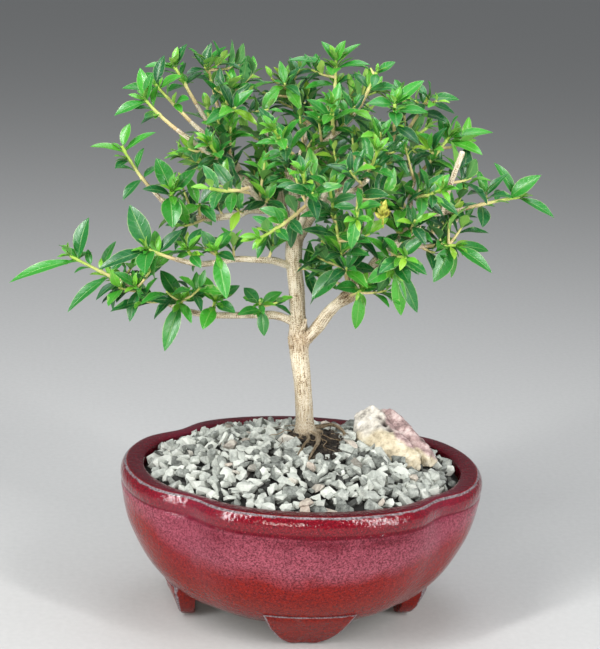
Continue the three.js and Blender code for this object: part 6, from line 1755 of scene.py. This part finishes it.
def make_crumbs(finish, rng):
    """The bare soil about the foot of the trunk: a lumpy mound, heaped up at the trunk, and loose crumbs."""
    skin = Skin()
    foot = tree_points(TRUNK_FOOT)
    rings = np.linspace(0.02, 1.05, 26)[:, None]
    x, y, z = bare_place(rings, full_turn(72)[None])
    heap = 0.9 * np.exp(-(np.hypot(x - foot[0], y - foot[1]) / 7) ** 2)
    top = np.stack([x, y, z + heap], axis=-1)
    top[..., 2] += 0.7 * noise(top, 3.4, 51) + 0.35 * noise(top, 1.2, 52)
    bottom = top.copy()
    bottom[..., 2] = gravel_height(x, y) - SOIL_UNDERSIDE
    closed_tube(skin, np.concatenate([top, bottom[::-1]])[:, ::-1])
    angle, away = rng.random(CRUMBS) * 2 * math.pi, np.sqrt(rng.random(CRUMBS))
    x, y, z = bare_place(away, angle)
    size = rng.uniform(0.4, 1.3, CRUMBS)
    scatter(skin, chip_shapes(rng, 10), np.column_stack([x, y, z + 0.3 * size]),
            size[:, None] * rng.uniform(0.6, 1.4, (CRUMBS, 3)), turns(rng, CRUMBS, 1.0))
    make_piece(skin, "soil_crumbs", [finish], sharp=STONE_SHARP)


def make_rootlets(finish, rng):
    """Wiry rootlets on the bare soil: short wandering threads that taper and dip into it."""
    skin = Skin()
    foot = tree_points(TRUNK_FOOT)
    for _ in range(WIRY_ROOTS):
        a, away = 2 * math.pi * rng.random(), 5 + 9 * rng.random()
        start = np.array([foot[0] + away * math.cos(a), foot[1] - 3 + away * math.sin(a)])
        heading = a + rng.normal(0, 0.9)
        reach = 5 + 9 * rng.random()
        rows = []
        for share in (0, 0.3, 0.6, 1):
            heading += rng.normal(0, 0.35)
            x, y = start + reach * share * np.array([math.cos(heading), math.sin(heading)])
            z = gravel_height(x, y) + 1.9 + 0.9 * rng.random() - 1.2 * share
            rows.append([x, y, z, 0.28 - 0.16 * share])
        rows = through(rows, 0.9)
        closed_tube(skin, tube_rings(rows[:, :3], rows[:, 3], 5), low=1.2, knob=0.6,
                    run=np.repeat(np.arange(len(rows)), 5))
    make_piece(skin, "wiry_roots", [finish])


# The whole
leaf_finishes = [leaf_finish("serissa_leaf", False), leaf_finish("serissa_leaf_underside", True),
                 stem_finish()]
shoots = plan_shoots()
for number, shoot in enumerate(shoots):
    recover(shoot)
    grow_shoot(shoot, leaf_finishes, number)
grow_spurs(leaf_finishes, shoots)
grow_withered_bud(withered_finish())
bark = bark_finish()
make_wood(bark)
make_pot(glaze_finish(), clay_finish())
make_gravel(chip_finish())
make_stone(rock_finish())
soil = soil_finish()
ground_draws = np.random.default_rng(19)
make_crumbs(soil, ground_draws)
make_rootlets(bark, ground_draws)
screen = mesh_finish()
for name, finish in (("soil", soil), ("drain_screen_left", screen), ("drain_screen_right", screen)):
    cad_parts[name].data.materials.clear()
    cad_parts[name].data.materials.append(finish)

# Floor, light and camera
FLOOR_HALF = 7
# Lights, as [name, place, target, width, height, watts, colour], in millimetres in the tree's frame
LIGHTS = [
    ["window", [-716, -720, 706], [0, -20, 130], 85, 1400, 18, "#ffffff"],
    ["sky", [60, 120, 1150], [0, 0, 150], 600, 600, 4.6, "#f2f6ff"],
    ["side", [790, -670, 562], [0, -20, 130], 75, 1150, 11.5, "#ffffff"],
    ["fill", [-60, -1150, 420], [0, 0, 190], 300, 300, 3.6, "#fff9f0"],
]
# The camera's focal length over the long side of the frame, in pixels, and its look down and roll
FOCAL_LENGTH, LONG_SIDE = 1600, 649
LOOK_DOWN, ROLL = math.radians(15.35), math.radians(3.5)
SENSOR = 36

floor_mesh = bpy.data.meshes.new("floor")
corners = [(x * FLOOR_HALF, y * FLOOR_HALF, 0) for x, y in ((-1, -1), (1, -1), (1, 1), (-1, 1))]
floor_mesh.from_pydata(corners, [], [(0, 1, 2, 3)])
floor_mesh.materials.append(floor_finish())
floor = bpy.data.objects.new("floor", floor_mesh)
bpy.context.scene.collection.objects.link(floor)

world = bpy.data.worlds.new("studio")
world.use_nodes = True
feed(world.node_tree.nodes["Background"], {"Color": ink("#e9edf2"), "Strength": 0.28})
bpy.context.scene.world = world
bpy.context.scene.view_settings.view_transform = "Standard"


def add_light(name, place, target, width, height, power, code):
    """A soft rectangular light at a place in millimetres, aimed at a target."""
    data = bpy.data.lights.new(name, "AREA")
    data.shape = "RECTANGLE"
    data.size = width * MM
    data.size_y = height * MM
    data.energy = power
    data.color = ink(code)[:3]
    light = bpy.data.objects.new(name, data)
    light.visible_camera = False
    light.location = Vector((tree_points(place) + SHIFT) * MM)
    aim = Vector(tree_points(np.array(target, float) - place))
    light.rotation_euler = aim.to_track_quat("-Z", "Y").to_euler()
    bpy.context.scene.collection.objects.link(light)


for light in LIGHTS:
    add_light(*light)

camera_data = bpy.data.cameras.new("camera")
camera_data.lens = SENSOR * FOCAL_LENGTH / LONG_SIDE
camera_data.sensor_width = SENSOR
camera_data.clip_end = 40
camera = bpy.data.objects.new("camera", camera_data)
stand = Vector((tree_points(CAMERA_STAND) + SHIFT) * MM)
camera.matrix_world = (Matrix.Translation(stand) @ Matrix.Rotation(TREE_TURN, 4, "Z")
                       @ Matrix.Rotation(math.pi / 2 - LOOK_DOWN, 4, "X") @ Matrix.Rotation(ROLL, 4, "Z"))
bpy.context.scene.collection.objects.link(camera)
bpy.context.scene.camera = camera
